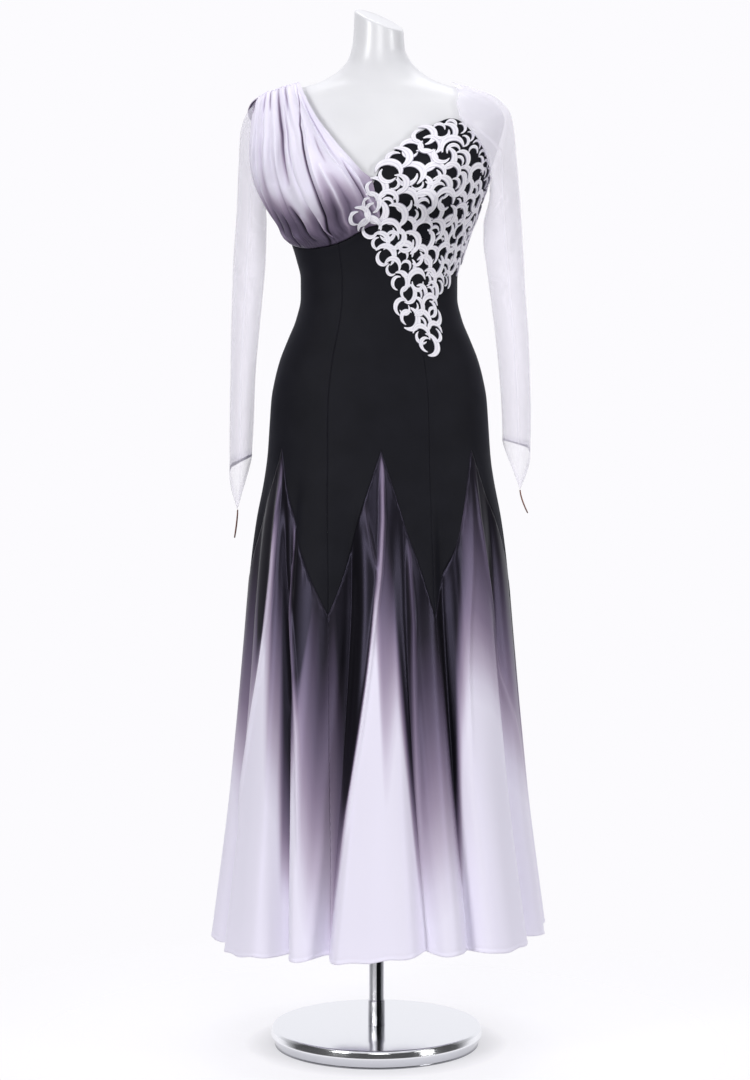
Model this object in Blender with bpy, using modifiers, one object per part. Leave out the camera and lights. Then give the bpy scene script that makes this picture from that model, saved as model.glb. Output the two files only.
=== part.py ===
"""A ballroom dance dress worn by a white dress form on a chromed stand.

Metres, +Z up. The origin is the middle of the stand's underside, on the floor. The dress faces -Y,
and +X is the wearer's left. Angles run round the figure in degrees: 0 at the front middle, 90 at the
wearer's left side, 180 at the back middle and -90 at the wearer's right side.
"""

import math
from bisect import bisect_right

import bmesh
import bpy
from mathutils import Vector
from mathutils.bvhtree import BVHTree
from mathutils.geometry import delaunay_2d_cdt

# Driving dimensions, in metres and degrees.
STAND_RADIUS = 0.171
STAND_HEIGHT = 0.030
# The base's rim from its top edge down: how far in from the radius, and the height.
STAND_RIM = [(0.0012, 0.0300), (0.0, 0.0285), (0.0045, 0.0220), (0.0020, 0.0150), (0.0100, 0.0)]
POLE_RADIUS = 0.012
FIT = 0.0003  # between pieces that touch, and at each seam
EASE = 0.0010  # from the figure out to the cloth that lies on it
FORM_INSET = 0.0020  # from the figure in to the form
FORM_BUST = 0.90  # the form's bust, as a share of the figure's
CREPE = 0.0012  # wall of the black stretch crepe
SATIN = 0.0012  # wall of the satin
MESH = 0.0010  # wall of the sheer stretch mesh
LACE = 0.0016  # thickness of the corded applique
LACE_LIFT = 0.0016  # between the applique and the pieces under it
CENTRE_X = 0.004  # the figure stands this far to the left of the pole

FORM_FOOT = 0.837  # height of the form's underside
FORM_NECK = 1.647  # height of the neck's cut, at its middle
NECK_LEAN = (-0.41, 0.26)  # how much the cut rises for each metre along +X and +Y
NECK_ROOT = 1.582  # the neck's rings are level up to here

HEM = 0.192  # height of the hem
GODET_TOP = 0.969  # height of the godets' points
GODET_FIT = 0.0011  # between crepe and godet, measured upwards, as their edges are steep
GODET_SEAM = 0.713  # height where two neighbouring godets meet below the crepe
HIP = 1.047

BUST_OUT = 0.080  # from the middle of the figure to the bust point
BUST_HEIGHT = 1.369
BUST_REACH = 0.044  # how far the bust stands forward of the chest
BUST_WIDTH = 0.052
BUST_ABOVE = 0.062
BUST_BELOW = 0.042


class Table:
    """A table with named columns, read smoothly between its rows by its first column."""

    def __init__(self, columns, rows):
        self.columns = columns.split()
        self.rows = sorted(rows)
        self.keys = [row[0] for row in self.rows]
        self.slopes = {name: self._slopes(i) for i, name in enumerate(self.columns)}

    def _slopes(self, column):
        """Slopes that keep the curve from overshooting its rows."""
        keys, values = self.keys, [row[column] for row in self.rows]
        rises = [
            (values[i + 1] - values[i]) / (keys[i + 1] - keys[i])
            for i in range(len(keys) - 1)
        ]
        inner = [
            0.0 if a * b <= 0 else 2 * a * b / (a + b)
            for a, b in zip(rises, rises[1:])
        ]
        return [rises[0], *inner, rises[-1]]

    def at(self, name, key):
        column = self.columns.index(name)
        key = min(max(key, self.keys[0]), self.keys[-1])
        i = min(bisect_right(self.keys, key), len(self.keys) - 1) - 1
        step = self.keys[i + 1] - self.keys[i]
        t = (key - self.keys[i]) / step
        first, last = self.rows[i][column], self.rows[i + 1][column]
        start, end = self.slopes[name][i] * step, self.slopes[name][i + 1] * step
        return (
            (2 * t**3 - 3 * t**2 + 1) * first
            + (t**3 - 2 * t**2 + t) * start
            + (3 * t**2 - 2 * t**3) * last
            + (t**3 - t**2) * end
        )


# The figure and, below the hip, the hang of the skirt's lining side. "square" fills out an ellipse.
SECTIONS = Table(
    "height half_width front back square",
    [
        (0.187, 0.2690, 0.2640, 0.2680, 0.12),
        (0.267, 0.2580, 0.2500, 0.2540, 0.11),
        (0.397, 0.2410, 0.2230, 0.2290, 0.09),
        (0.527, 0.2280, 0.1980, 0.2060, 0.07),
        (0.657, 0.2160, 0.1730, 0.1840, 0.05),
        (0.787, 0.2040, 0.1490, 0.1610, 0.04),
        (0.852, 0.1950, 0.1360, 0.1490, 0.03),
        (0.917, 0.1820, 0.1230, 0.1380, 0.04),
        (0.957, 0.1760, 0.1160, 0.1310, 0.04),
        (1.007, 0.1725, 0.1100, 0.1280, 0.04),
        (1.047, 0.1695, 0.1060, 0.1230, 0.04),
        (1.077, 0.1640, 0.1020, 0.1150, 0.04),
        (1.107, 0.1560, 0.0980, 0.1050, 0.04),
        (1.140, 0.1430, 0.0930, 0.0940, 0.04),
        (1.172, 0.1300, 0.0880, 0.0840, 0.04),
        (1.207, 0.1225, 0.0845, 0.0780, 0.04),
        (1.237, 0.1225, 0.0850, 0.0785, 0.04),
        (1.267, 0.1290, 0.0870, 0.0830, 0.04),
        (1.299, 0.1390, 0.0905, 0.0890, 0.05),
        (1.330, 0.1510, 0.0940, 0.0945, 0.05),
        (1.362, 0.1630, 0.0965, 0.0990, 0.05),
        (1.397, 0.1760, 0.0960, 0.1020, 0.05),
        (1.432, 0.1870, 0.0920, 0.1020, 0.03),
        (1.462, 0.1960, 0.0850, 0.0980, 0.00),
        (1.487, 0.2010, 0.0770, 0.0920, 0.00),
        (1.507, 0.1930, 0.0690, 0.0860, 0.00),
        (1.520, 0.1780, 0.0620, 0.0800, 0.00),
        (1.535, 0.1360, 0.0560, 0.0740, 0.00),
        (1.547, 0.0960, 0.0500, 0.0690, 0.00),
        (1.563, 0.0680, 0.0440, 0.0640, 0.00),
        (1.582, 0.0510, 0.0400, 0.0600, 0.00),
        (1.607, 0.0430, 0.0380, 0.0580, 0.00),
        (1.667, 0.0400, 0.0370, 0.0560, 0.00),
    ],
)

# The skirt's valleys: where each lies below the hip and at the hem, how wide it is, how deep.
FOLDS = Table(
    "angle low_angle width low_width depth low_depth",
    [
        (-178.0, -180.0, 6.0, 6.0, 0.012, 0.036),
        (-156.0, -157.0, 6.0, 5.0, 0.014, 0.040),
        (-131.0, -130.0, 5.0, 5.5, 0.010, 0.032),
        (-108.0, -106.0, 5.0, 5.0, 0.012, 0.034),
        (-90.0, -87.0, 4.5, 5.0, 0.010, 0.030),
        (-71.0, -66.5, 5.0, 4.8, 0.009, 0.032),
        (-43.0, -32.5, 4.5, 4.4, 0.016, 0.038),
        (-13.5, -18.0, 7.0, 4.4, 0.024, 0.046),
        (11.0, 16.5, 3.8, 4.0, 0.010, 0.032),
        (30.5, 32.5, 4.4, 4.2, 0.018, 0.036),
        (63.0, 66.0, 5.0, 4.8, 0.010, 0.034),
        (88.0, 87.0, 4.5, 5.0, 0.010, 0.030),
        (110.0, 109.0, 5.5, 5.0, 0.013, 0.036),
        (135.0, 136.0, 5.0, 5.0, 0.010, 0.032),
        (158.0, 157.0, 6.0, 5.0, 0.015, 0.042),
    ],
)

FOLD_WALLS = (1.25, 0.72)  # each valley's gentle wall and its steep one, as shares of its width

# The long seams: their angles at the hip, where the godets meet, and at the hem.
SEAMS = {
    "right_front": (-27.0, -22.5, -18.0),
    "left_front": (26.0, 23.5, 31.5),
    "left_side": (90.0, 90.0, 91.0),
    "left_back": (152.0, 151.0, 149.0),
    "right_back": (208.0, 209.0, 212.0),
    "right_side": (270.0, 270.0, 272.0),
}


class Sector:
    """A sector of the skirt, between two seams: a crepe panel over a godet that rises to a point."""

    def __init__(self, panel, godet, first, last, point, before, after):
        self.panel, self.godet = panel, godet
        self.first, self.last = first, last
        self.point = point
        self.before, self.columns = before, before + after

    def seams(self, height):
        start, end = seam_angle(self.first, height), seam_angle(self.last, height)
        return (start, end) if start < end else (start, end + 360.0)

    def side(self, u):
        """0 at both seams and 1 at the column that ends in the godet's point."""
        middle = self.before / self.columns
        return u / middle if u < middle else (1 - u) / (1 - middle)

    def share(self, u):
        """Share of the sector's width at that share of its columns."""
        start, end = self.seams(GODET_TOP)
        peak = (self.point - start) / (end - start)
        middle = self.before / self.columns
        return peak * self.side(u) if u < middle else 1 - (1 - peak) * self.side(u)

    def angle(self, u, height):
        """The angle at that share of its columns, a stitch's gap clear of both seams."""
        start, end = self.seams(height)
        gap = math.degrees(FIT / 2 / SECTIONS.at("front", height))
        return lerp(start + gap, end - gap, self.share(u))

    def edge(self, u):
        """Height of the godet's pointed upper edge."""
        return lerp(GODET_SEAM, GODET_TOP, self.side(u))


# Each with the angle of the godet's point, and its columns before and after the point.
SECTORS = [
    Sector("centre_front_panel", "front_godet", "right_front", "left_front", 1.0, 4, 4),
    Sector("left_front_panel", "left_front_godet", "left_front", "left_side", 54.0, 4, 5),
    Sector("left_back_panel", "left_back_godet", "left_side", "left_back", 121.0, 5, 4),
    Sector("centre_back_panel", "back_godet", "left_back", "right_back", 180.0, 4, 4),
    Sector("right_back_panel", "right_back_godet", "right_back", "right_side", 239.0, 4, 5),
    Sector("right_front_panel", "right_front_godet", "right_side", "right_front", 301.0, 4, 5),
]
PANEL_ROWS = (4, 9)  # below the hip's fullest part, and above it
PANEL_LEVEL = 1.007
GODET_ROWS = 8

# Top edges of the crepe: the seam under the bust, and the back's neckline and armholes.
UNDER_BUST = Table(
    "angle height",
    [
        (-90.0, 1.295),
        (-75.0, 1.290),
        (-52.0, 1.284),
        (-33.0, 1.288),
        (-18.0, 1.300),
        (-8.0, 1.315),
        (0.0, 1.320),
        (15.0, 1.310),
        (35.0, 1.294),
        (60.0, 1.287),
        (90.0, 1.295),
    ],
)
BACK_EDGE = Table(
    "angle height",
    [
        (90.0, 1.377),
        (100.0, 1.395),
        (115.0, 1.427),
        (130.0, 1.457),
        (142.0, 1.473),
        (150.0, 1.455),
        (163.0, 1.407),
        (180.0, 1.379),
    ],
)
# The cup's upper edge, from the middle of the neckline to the armpit.
CUP_EDGE = Table(
    "angle height",
    [
        (-3.0, 1.383),
        (2.5, 1.417),
        (11.5, 1.445),
        (23.0, 1.470),
        (34.0, 1.485),
        (50.0, 1.459),
        (65.0, 1.424),
        (80.0, 1.394),
        (90.0, 1.377),
    ],
)
CUP_SEAM_COLUMN = 3  # the column of the front panel where the seam between cup and drape ends
CUP_ROWS = 8

DRAPE_COLUMNS, DRAPE_ROWS = 28, 13
DRAPE_CORNER = 4 / 28  # share of its width where its foot turns from the middle seam to under the bust
DRAPE_WIDER = 0.034  # it hangs wider than the figure, in front of the sleeve
DRAPE_FULLEST = 1.437
DRAPE_RIDGE = 0.70  # share of its length at which the drape crosses the shoulder
DRAPE_SHOULDER = (0.124, 0.190)  # how far out its two edges cross the shoulder
DRAPE_BOW = (0.013, 0.026)  # how far its two edges bow outwards between foot and shoulder
DRAPE_BACK = ((-143.0, 1.4745), (-126.0, 1.4515))  # where its two edges meet the back panel
DRAPE_PUFF = 0.005
# The drape's troughs across its width, and the stretch of its length over which each runs.
DRAPE_FOLDS = Table(
    "share width depth start end",
    [
        (0.09, 0.030, 0.0040, 0.02, 0.62),
        (0.20, 0.032, 0.0050, 0.00, 0.60),
        (0.33, 0.028, 0.0055, 0.02, 0.95),
        (0.44, 0.026, 0.0050, -0.05, 0.32),
        (0.55, 0.036, 0.0075, 0.22, 0.95),
        (0.66, 0.030, 0.0050, -0.05, 0.55),
        (0.77, 0.028, 0.0050, 0.30, 0.90),
        (0.88, 0.030, 0.0045, 0.05, 0.70),
    ],
)

# The sleeves, from the head to the cuff: the ring's outer and inner ends, and half its depth to the
# front and to the back.
SLEEVES = {
    "left_sleeve": Table(
        "share outer_x outer_z inner_x inner_z front back",
        [
            (0.00, 0.126, 1.5405, 0.1775, 1.3760, 0.076, 0.086),
            (0.06, 0.166, 1.5340, 0.1795, 1.3710, 0.072, 0.078),
            (0.12, 0.192, 1.5210, 0.1800, 1.3640, 0.064, 0.068),
            (0.18, 0.210, 1.5050, 0.1780, 1.3540, 0.055, 0.058),
            (0.25, 0.219, 1.4660, 0.1740, 1.3420, 0.047, 0.050),
            (0.33, 0.224, 1.4120, 0.1700, 1.3220, 0.041, 0.044),
            (0.42, 0.229, 1.3520, 0.1700, 1.2970, 0.038, 0.041),
            (0.52, 0.234, 1.2770, 0.1755, 1.2520, 0.037, 0.039),
            (0.62, 0.238, 1.2070, 0.1830, 1.1970, 0.035, 0.037),
            (0.72, 0.2430, 1.1420, 0.1905, 1.1370, 0.032, 0.034),
            (0.82, 0.2455, 1.0790, 0.1965, 1.0770, 0.029, 0.031),
            (0.92, 0.2470, 1.0170, 0.2005, 1.0170, 0.027, 0.029),
            (1.00, 0.2460, 0.9670, 0.2015, 0.9800, 0.026, 0.028),
        ],
    ),
    "right_sleeve": Table(
        "share outer_x outer_z inner_x inner_z front back",
        [
            (0.00, 0.184, 1.5200, 0.1680, 1.3760, 0.050, 0.066),
            (0.07, 0.198, 1.5130, 0.1720, 1.3690, 0.047, 0.060),
            (0.14, 0.208, 1.4970, 0.1750, 1.3590, 0.044, 0.054),
            (0.22, 0.216, 1.4630, 0.1760, 1.3470, 0.041, 0.048),
            (0.32, 0.219, 1.4120, 0.1750, 1.3270, 0.038, 0.043),
            (0.42, 0.2215, 1.3520, 0.1755, 1.3020, 0.036, 0.040),
            (0.52, 0.2270, 1.2770, 0.1775, 1.2550, 0.035, 0.038),
            (0.62, 0.2300, 1.2070, 0.1830, 1.1970, 0.033, 0.036),
            (0.72, 0.2320, 1.1420, 0.1890, 1.1370, 0.031, 0.033),
            (0.82, 0.2330, 1.0790, 0.1940, 1.0770, 0.029, 0.030),
            (0.92, 0.2345, 1.0120, 0.1965, 1.0120, 0.027, 0.028),
            (1.00, 0.2350, 0.9350, 0.2000, 0.9540, 0.026, 0.027),
        ],
    ),
}
# Where each sleeve's head lies on the figure: round the armhole from its top through the front.
ARMHOLES = {
    "left_sleeve": Table(
        "share angle height",
        [
            (0.00, 90.0, 1.5415),
            (0.07, 62.0, 1.5360),
            (0.13, 45.0, 1.5220),
            (0.19, 38.0, 1.5040),
            (0.25, 38.0, 1.4860),
            (0.31, 48.0, 1.4630),
            (0.37, 62.0, 1.4310),
            (0.44, 78.0, 1.3950),
            (0.50, 90.0, 1.3790),
            (0.56, 101.0, 1.3930),
            (0.64, 116.0, 1.4260),
            (0.72, 131.0, 1.4570),
            (0.78, 141.0, 1.4710),
            (0.85, 142.0, 1.4940),
            (0.92, 126.0, 1.5250),
            (1.00, 90.0, 1.5415),
        ],
    ),
    "right_sleeve": Table(
        "share angle height",
        [
            (0.00, 90.0, 1.5060),
            (0.10, 72.0, 1.4960),
            (0.20, 62.0, 1.4690),
            (0.30, 62.0, 1.4370),
            (0.42, 76.0, 1.3970),
            (0.50, 90.0, 1.3790),
            (0.58, 103.0, 1.3970),
            (0.70, 114.0, 1.4320),
            (0.80, 115.0, 1.4610),
            (0.90, 103.0, 1.4940),
            (1.00, 90.0, 1.5060),
        ],
    ),
}
HEAD_REACH = 0.20  # share of the sleeve over which it changes from armhole to arm
SLEEVE_SIDE = {"left_sleeve": 1, "right_sleeve": -1}
SLEEVE_POINT = {"left_sleeve": 0.070, "right_sleeve": 0.072}  # how far the cuff's point reaches down
SLEEVE_EASE = {"left_sleeve": 0.0055, "right_sleeve": 0.0032}  # from the figure out to the sleeve
SLEEVE_COLUMNS = 14
SLEEVE_ROWS = 13
POINT_COLUMN = 3  # the column that ends in the cuff's point
POINT_SPREAD = 110.0
# Each finger loop hangs from its sleeve's point.
LOOP_RADIUS = 0.0010
LOOP_LENGTH = {"left_sleeve": 0.036, "right_sleeve": 0.044}
LOOP_SWING = {"left_sleeve": 0.012, "right_sleeve": -0.005}
LOOP_HALF_WIDTH = 0.0095
LOOP_POINTS = 20

# The applique's outline on the figure, as heights of its lower and upper edge at each angle.
LACE_FIELD = Table(
    "angle low high",
    [
        (-12.0, 1.292, 1.342),
        (-7.0, 1.282, 1.375),
        (-1.0, 1.265, 1.403),
        (6.0, 1.239, 1.431),
        (13.0, 1.202, 1.453),
        (20.0, 1.125, 1.467),
        (31.0, 1.115, 1.483),
        (36.0, 1.132, 1.475),
        (44.0, 1.172, 1.455),
        (52.0, 1.207, 1.428),
        (66.0, 1.233, 1.391),
        (80.0, 1.251, 1.365),
        (92.0, 1.269, 1.357),
        (99.0, 1.287, 1.347),
    ],
)
LACE_FOOT = 1.132  # height of the lowest row of crescents
LACE_GIRTH = 0.150  # the radius that turns an angle into a length on the flat applique
CRESCENT_STEP = (0.0275, 0.0205)  # from one crescent to the next, along a row and between rows
CRESCENT_RADIUS = 0.0172
CRESCENT_WIDTH = 0.0100
CRESCENT_SWEEP = 220.0
CRESCENT_AIMS = (30.0, 80.0, -20.0, 50.0)  # which way a crescent's back faces, in turn
CRESCENT_POINTS = 6  # steps along its outer side


def lerp(a, b, t):
    return a + (b - a) * t


def ease(t):
    """0 below 0 and 1 above 1, with a smooth step between."""
    t = min(max(t, 0.0), 1.0)
    return t * t * (3 - 2 * t)


def turned(angle):
    """The same angle between -180 and 180 degrees."""
    return (angle + 180.0) % 360.0 - 180.0


def fold_depth(angle, height):
    """How far the skirt falls in at that angle and height."""
    if height >= GODET_TOP:
        return 0.0
    fade = ease((GODET_TOP - height) / (GODET_TOP - GODET_SEAM))
    low = min(max((GODET_SEAM - height) / (GODET_SEAM - HEM), 0.0), 1.0)
    depth = 0.0
    for upper, lower, width, low_width, deep, low_deep in FOLDS.rows:
        away = turned(angle - lerp(upper, lower, low)) / lerp(width, low_width, low)
        away /= FOLD_WALLS[0 if away < 0 else 1]
        depth += fade * lerp(deep, low_deep, low) * math.exp(-away * away)
    return depth


def bust(x, height):
    """How far the bust stands forward at that place."""
    spread = BUST_ABOVE if height > BUST_HEIGHT else BUST_BELOW
    level = math.exp(-(((height - BUST_HEIGHT) / spread) ** 2))
    sides = sum(math.exp(-(((x - side * BUST_OUT) / BUST_WIDTH) ** 2)) for side in (-1, 1))
    return BUST_REACH * level * sides


def figure(angle, height, wider=0.0, fullness=1.0):
    """The point of the figure, or of the inside of the hanging skirt, at that angle and height."""
    s, c = math.sin(math.radians(angle)), math.cos(math.radians(angle))
    square = SECTIONS.at("square", height)
    x = (SECTIONS.at("half_width", height) + wider) * s * (1 + square * c * c)
    y = -SECTIONS.at("front" if c > 0 else "back", height) * c * (1 + square * s * s)
    if c > 0:
        y -= fullness * bust(x, height) * c * (2 - c)
    keep = 1 - fold_depth(angle, height) / math.hypot(x, y)
    return Vector((CENTRE_X + x * keep, y * keep, height))


def normal_of(surface, u, v, du, dv):
    """The direction out of surface(u, v), from its slopes along u and v."""
    along = surface(u + du, v) - surface(u - du, v)
    up = surface(u, v + dv) - surface(u, v - dv)
    return along.cross(up).normalized()


def on_figure(angle, height, lift):
    """The point at that distance out from the figure."""
    return figure(angle, height) + lift * normal_of(figure, angle, height, 0.3, 0.0008)


# Blender objects.


def material(name, color, roughness, metallic=0.0):
    made = bpy.data.materials.new(name)
    made.use_nodes = True
    shader = made.node_tree.nodes["Principled BSDF"]
    shader.inputs["Base Color"].default_value = (*color, 1.0)
    shader.inputs["Roughness"].default_value = roughness
    shader.inputs["Metallic"].default_value = metallic
    return made


def finished(name, bm, finish, collection):
    """The bmesh as a named object with outward faces, shaded smooth."""
    bmesh.ops.recalc_face_normals(bm, faces=bm.faces[:])
    if bm.calc_volume(signed=True) < 0:
        bmesh.ops.reverse_faces(bm, faces=bm.faces[:])
    mesh = bpy.data.meshes.new(name)
    bm.to_mesh(mesh)
    bm.free()
    mesh.shade_smooth()
    mesh.set_sharp_from_angle(angle=math.radians(50))
    mesh.materials.append(finish)
    made = bpy.data.objects.new(name, mesh)
    collection.objects.link(made)
    return made


def grid(columns, rows, closed):
    """A flat grid one unit wide and high, or the same grid rolled into a tube, and its corners' shares."""
    bm = bmesh.new()
    bmesh.ops.create_grid(bm, x_segments=columns, y_segments=rows, size=0.5)
    if not closed:
        return bm, lambda co: (co.x + 0.5, co.y + 0.5)
    for vert in bm.verts:
        turn = math.tau * (vert.co.x + 0.5)
        vert.co = Vector((math.cos(turn), math.sin(turn), vert.co.y + 0.5))
    bmesh.ops.remove_doubles(bm, verts=bm.verts[:], dist=1e-5)
    return bm, lambda co: (math.atan2(co.y, co.x) / math.tau % 1.0, co.z)


def cloth(name, columns, rows, place, finish, collection, closed=False):
    """A wall of cloth whose corners lie at place(u, v, side), side 0 on its inner face and 1 outside."""
    bm, shares = grid(columns, rows, closed)
    made = bmesh.ops.extrude_face_region(bm, geom=bm.faces[:])["geom"]
    outside = {vert for vert in made if isinstance(vert, bmesh.types.BMVert)}
    for vert in bm.verts:
        u, v = shares(vert.co)
        vert.co = place(u, v, 1 if vert in outside else 0)
    return finished(name, bm, finish, collection)


# The stand and the form.


def stand_base(finish, collection):
    """The round base: a flat plate with a hollow, tapering rim, turned."""
    rim = [(STAND_RADIUS - inset, height) for inset, height in STAND_RIM]
    mesh = bpy.data.meshes.new("stand_base")
    outline = [(0.0, 0.0, STAND_HEIGHT), *[(r, 0.0, z) for r, z in rim], (0.0, 0.0, 0.0)]
    mesh.from_pydata(outline, [(i, i + 1) for i in range(len(outline) - 1)], [])
    mesh.materials.append(finish)
    base = bpy.data.objects.new("stand_base", mesh)
    collection.objects.link(base)
    turn = base.modifiers.new("turn", "SCREW")
    turn.steps = turn.render_steps = 36
    turn.use_merge_vertices = True
    turn.merge_threshold = 0.0001
    return base


def stand_pole(finish, collection):
    """The pole, from the base to the underside of the form."""
    low, high = STAND_HEIGHT + FIT, FORM_FOOT - FIT
    bm = bmesh.new()
    bmesh.ops.create_cone(
        bm,
        cap_ends=True,
        segments=24,
        radius1=POLE_RADIUS,
        radius2=POLE_RADIUS,
        depth=high - low,
    )
    bmesh.ops.translate(bm, verts=bm.verts[:], vec=(0.0, 0.0, (low + high) / 2))
    return finished("stand_pole", bm, finish, collection)


def form_height(v):
    """Heights of the form's rings, closer together at the bust, shoulder and neck."""
    heights = Table(
        "share height",
        [(0.0, FORM_FOOT), (0.25, 1.067), (0.45, 1.287), (0.68, 1.467), (0.85, 1.552), (1.0, FORM_NECK)],
    )
    return heights.at("height", v)


def dress_form(finish, collection):
    """The headless, limbless form: the figure itself, closed below the hips and cut across the neck."""

    def body(angle, height):
        return figure(angle, height, fullness=FORM_BUST)

    bm, shares = grid(32, 25, True)
    for vert in bm.verts:
        u, v = shares(vert.co)
        height = form_height(v)
        level = max(height, GODET_TOP)
        point = body(360.0 * u, level)
        point -= FORM_INSET * normal_of(body, 360.0 * u, level, 0.3, 0.0008)
        tuck = ease((GODET_TOP - height) / (GODET_TOP - FORM_FOOT))
        keep = 1 - 0.12 * tuck
        lean = max(height - NECK_ROOT, 0.0) / (FORM_NECK - NECK_ROOT)
        slope = NECK_LEAN[0] * point.x + NECK_LEAN[1] * point.y
        vert.co = Vector((point.x * keep, point.y * keep, height + lean * slope))
    rims = [edge for edge in bm.edges if edge.is_boundary]
    bmesh.ops.holes_fill(bm, edges=rims, sides=0)
    return finished("dress_form", bm, finish, collection)


# The crepe body and the godets.


def seam_angle(name, height):
    hip, meet, low = SEAMS[name]
    if height > GODET_SEAM:
        return lerp(meet, hip, ease((height - GODET_SEAM) / (HIP - GODET_SEAM)))
    return lerp(meet, low, (GODET_SEAM - height) / (GODET_SEAM - HEM))


def crepe_edge(angle):
    """Height of the crepe panels' upper edge at that angle."""
    angle = turned(angle)
    if abs(angle) <= 90.0:
        return UNDER_BUST.at("height", angle)
    return BACK_EDGE.at("height", abs(angle))


def hem_height(angle):
    """The hem dips a little on each fold and lifts a little in each valley."""
    swing = 0.006 * math.sin(math.radians(angle)) + 0.003 * math.sin(math.radians(3 * angle + 40))
    swing += 0.002 * math.sin(math.radians(7 * angle))
    return HEM + swing + 0.10 * fold_depth(angle, HEM)


def crepe_panel(sector, finish, collection):
    """A panel of the black body, from its upper edge to its two points beside the godet."""
    lower, upper = PANEL_ROWS

    def place(u, v, side):
        low = sector.edge(u) + GODET_FIT / 2
        top = crepe_edge(sector.angle(u, HIP)) - FIT / 2
        row = v * (lower + upper)
        if row < lower:
            height = lerp(low, PANEL_LEVEL, row / lower)
        else:
            height = lerp(PANEL_LEVEL, top, (row - lower) / upper)
        return on_figure(sector.angle(u, height), height, EASE + side * CREPE)

    return cloth(sector.panel, sector.columns, lower + upper, place, finish, collection)


def godet(sector, finish, collection):
    """A flared godet with its folds. Its upper edge runs straight between the panel's columns."""
    columns = sector.columns

    def surface(u, v, side):
        top = sector.edge(u) - GODET_FIT / 2
        height = lerp(top, hem_height(sector.angle(u, HEM)), v)
        return on_figure(sector.angle(u, height), height, EASE + side * SATIN)

    def place(u, v, side):
        if v > 0.0001:
            return surface(u, v, side)
        start = math.floor(u * columns + 0.0001) / columns
        end = min(start + 1 / columns, 1.0)
        share = (u - start) * columns
        return surface(start, 0.0, side).lerp(surface(end, 0.0, side), share)

    return cloth(sector.godet, 2 * columns, GODET_ROWS, place, finish, collection)


# The bodice's upper half.


def front_columns():
    """The front panels' upper corners, as angles from the right side seam to the left."""
    angles = []
    for sector in (SECTORS[5], SECTORS[0], SECTORS[1]):
        angles += [sector.angle(i / sector.columns, HIP) for i in range(sector.columns + 1)]
    return [turned(angle) for angle in angles]


def cup(finish, collection):
    """The wearer's left cup, from the middle seam round to the side seam."""
    angles = front_columns()[SECTORS[5].columns + 1 + CUP_SEAM_COLUMN :]

    def place(u, v, side):
        foot = angles[round(u * (len(angles) - 1))]
        angle = foot + v * (1 - u) ** 2 * (CUP_EDGE.keys[0] - angles[0])
        low = UNDER_BUST.at("height", foot) + FIT / 2
        return on_figure(angle, lerp(low, CUP_EDGE.at("height", angle), v), EASE + side * CREPE)

    return cloth("left_cup", len(angles) - 1, CUP_ROWS, place, finish, collection)


def shoulder_height(out):
    """Height at which the shoulder, widened for the drape, is that far out from the middle."""
    low, high = 1.462, 1.567
    for _ in range(30):
        middle = (low + high) / 2
        if SECTIONS.at("half_width", middle) + drape_wider(middle) > out:
            low = middle
        else:
            high = middle
    return low


def drape_wider(height):
    """How much wider than the figure the drape hangs at that height, in front of the sleeve."""
    spread = 0.050 if height > DRAPE_FULLEST else 0.085
    return DRAPE_WIDER * math.exp(-(((height - DRAPE_FULLEST) / spread) ** 2))


def drape_base(u, v):
    """The drape without its folds: from its foot over the shoulder to the back."""
    foot_angle, foot_height = drape_foot(u)
    out = lerp(*DRAPE_SHOULDER, u)
    ridge = shoulder_height(out)
    if v <= DRAPE_RIDGE:
        t = v / DRAPE_RIDGE
        height = lerp(foot_height, ridge, t)
        wider = drape_wider(height) * ease(t / 0.25)
        start = SECTIONS.at("half_width", foot_height) * math.sin(math.radians(foot_angle))
        x = lerp(start, -out, t) - lerp(*DRAPE_BOW, u) * math.sin(math.pi * t)
        share = x / (SECTIONS.at("half_width", height) + wider)
        if share < -0.93:
            share = -0.93 + 0.06 * math.tanh((share + 0.93) / 0.06)
        share = lerp(math.sin(math.radians(foot_angle)), share, ease(t / 0.12))
        return figure(math.degrees(math.asin(share)), height, wider)
    t = (v - DRAPE_RIDGE) / (1 - DRAPE_RIDGE)
    (inner, inner_height), (outer, outer_height) = DRAPE_BACK
    height = lerp(ridge, lerp(inner_height, outer_height, u), t)
    angle = lerp(-90.0, lerp(inner, outer, u), ease(t) ** 0.8)
    return figure(angle, height, drape_wider(height) * (1 - ease(t / 0.8)))


def drape_foot(u):
    """Angle and height of the drape's sewn edge: down the middle seam, then round under the bust."""
    angles = front_columns()[: SECTORS[5].columns + 2 + CUP_SEAM_COLUMN][::-1]
    angles[-1] += 1.6
    corner = (angles[0] - 0.25, UNDER_BUST.at("height", angles[0]) + FIT)
    if u < DRAPE_CORNER:
        top = (CUP_EDGE.keys[0] - 0.5, CUP_EDGE.rows[0][1])
        t = u / DRAPE_CORNER
        return lerp(top[0], corner[0], t), lerp(top[1], corner[1], t)
    place = (u - DRAPE_CORNER) / (1 - DRAPE_CORNER) * (len(angles) - 1)
    i = min(int(place), len(angles) - 2)
    angle = lerp(angles[i], angles[i + 1], place - i)
    return angle, lerp(*(UNDER_BUST.at("height", a) for a in angles[i : i + 2]), place - i) + FIT


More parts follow.
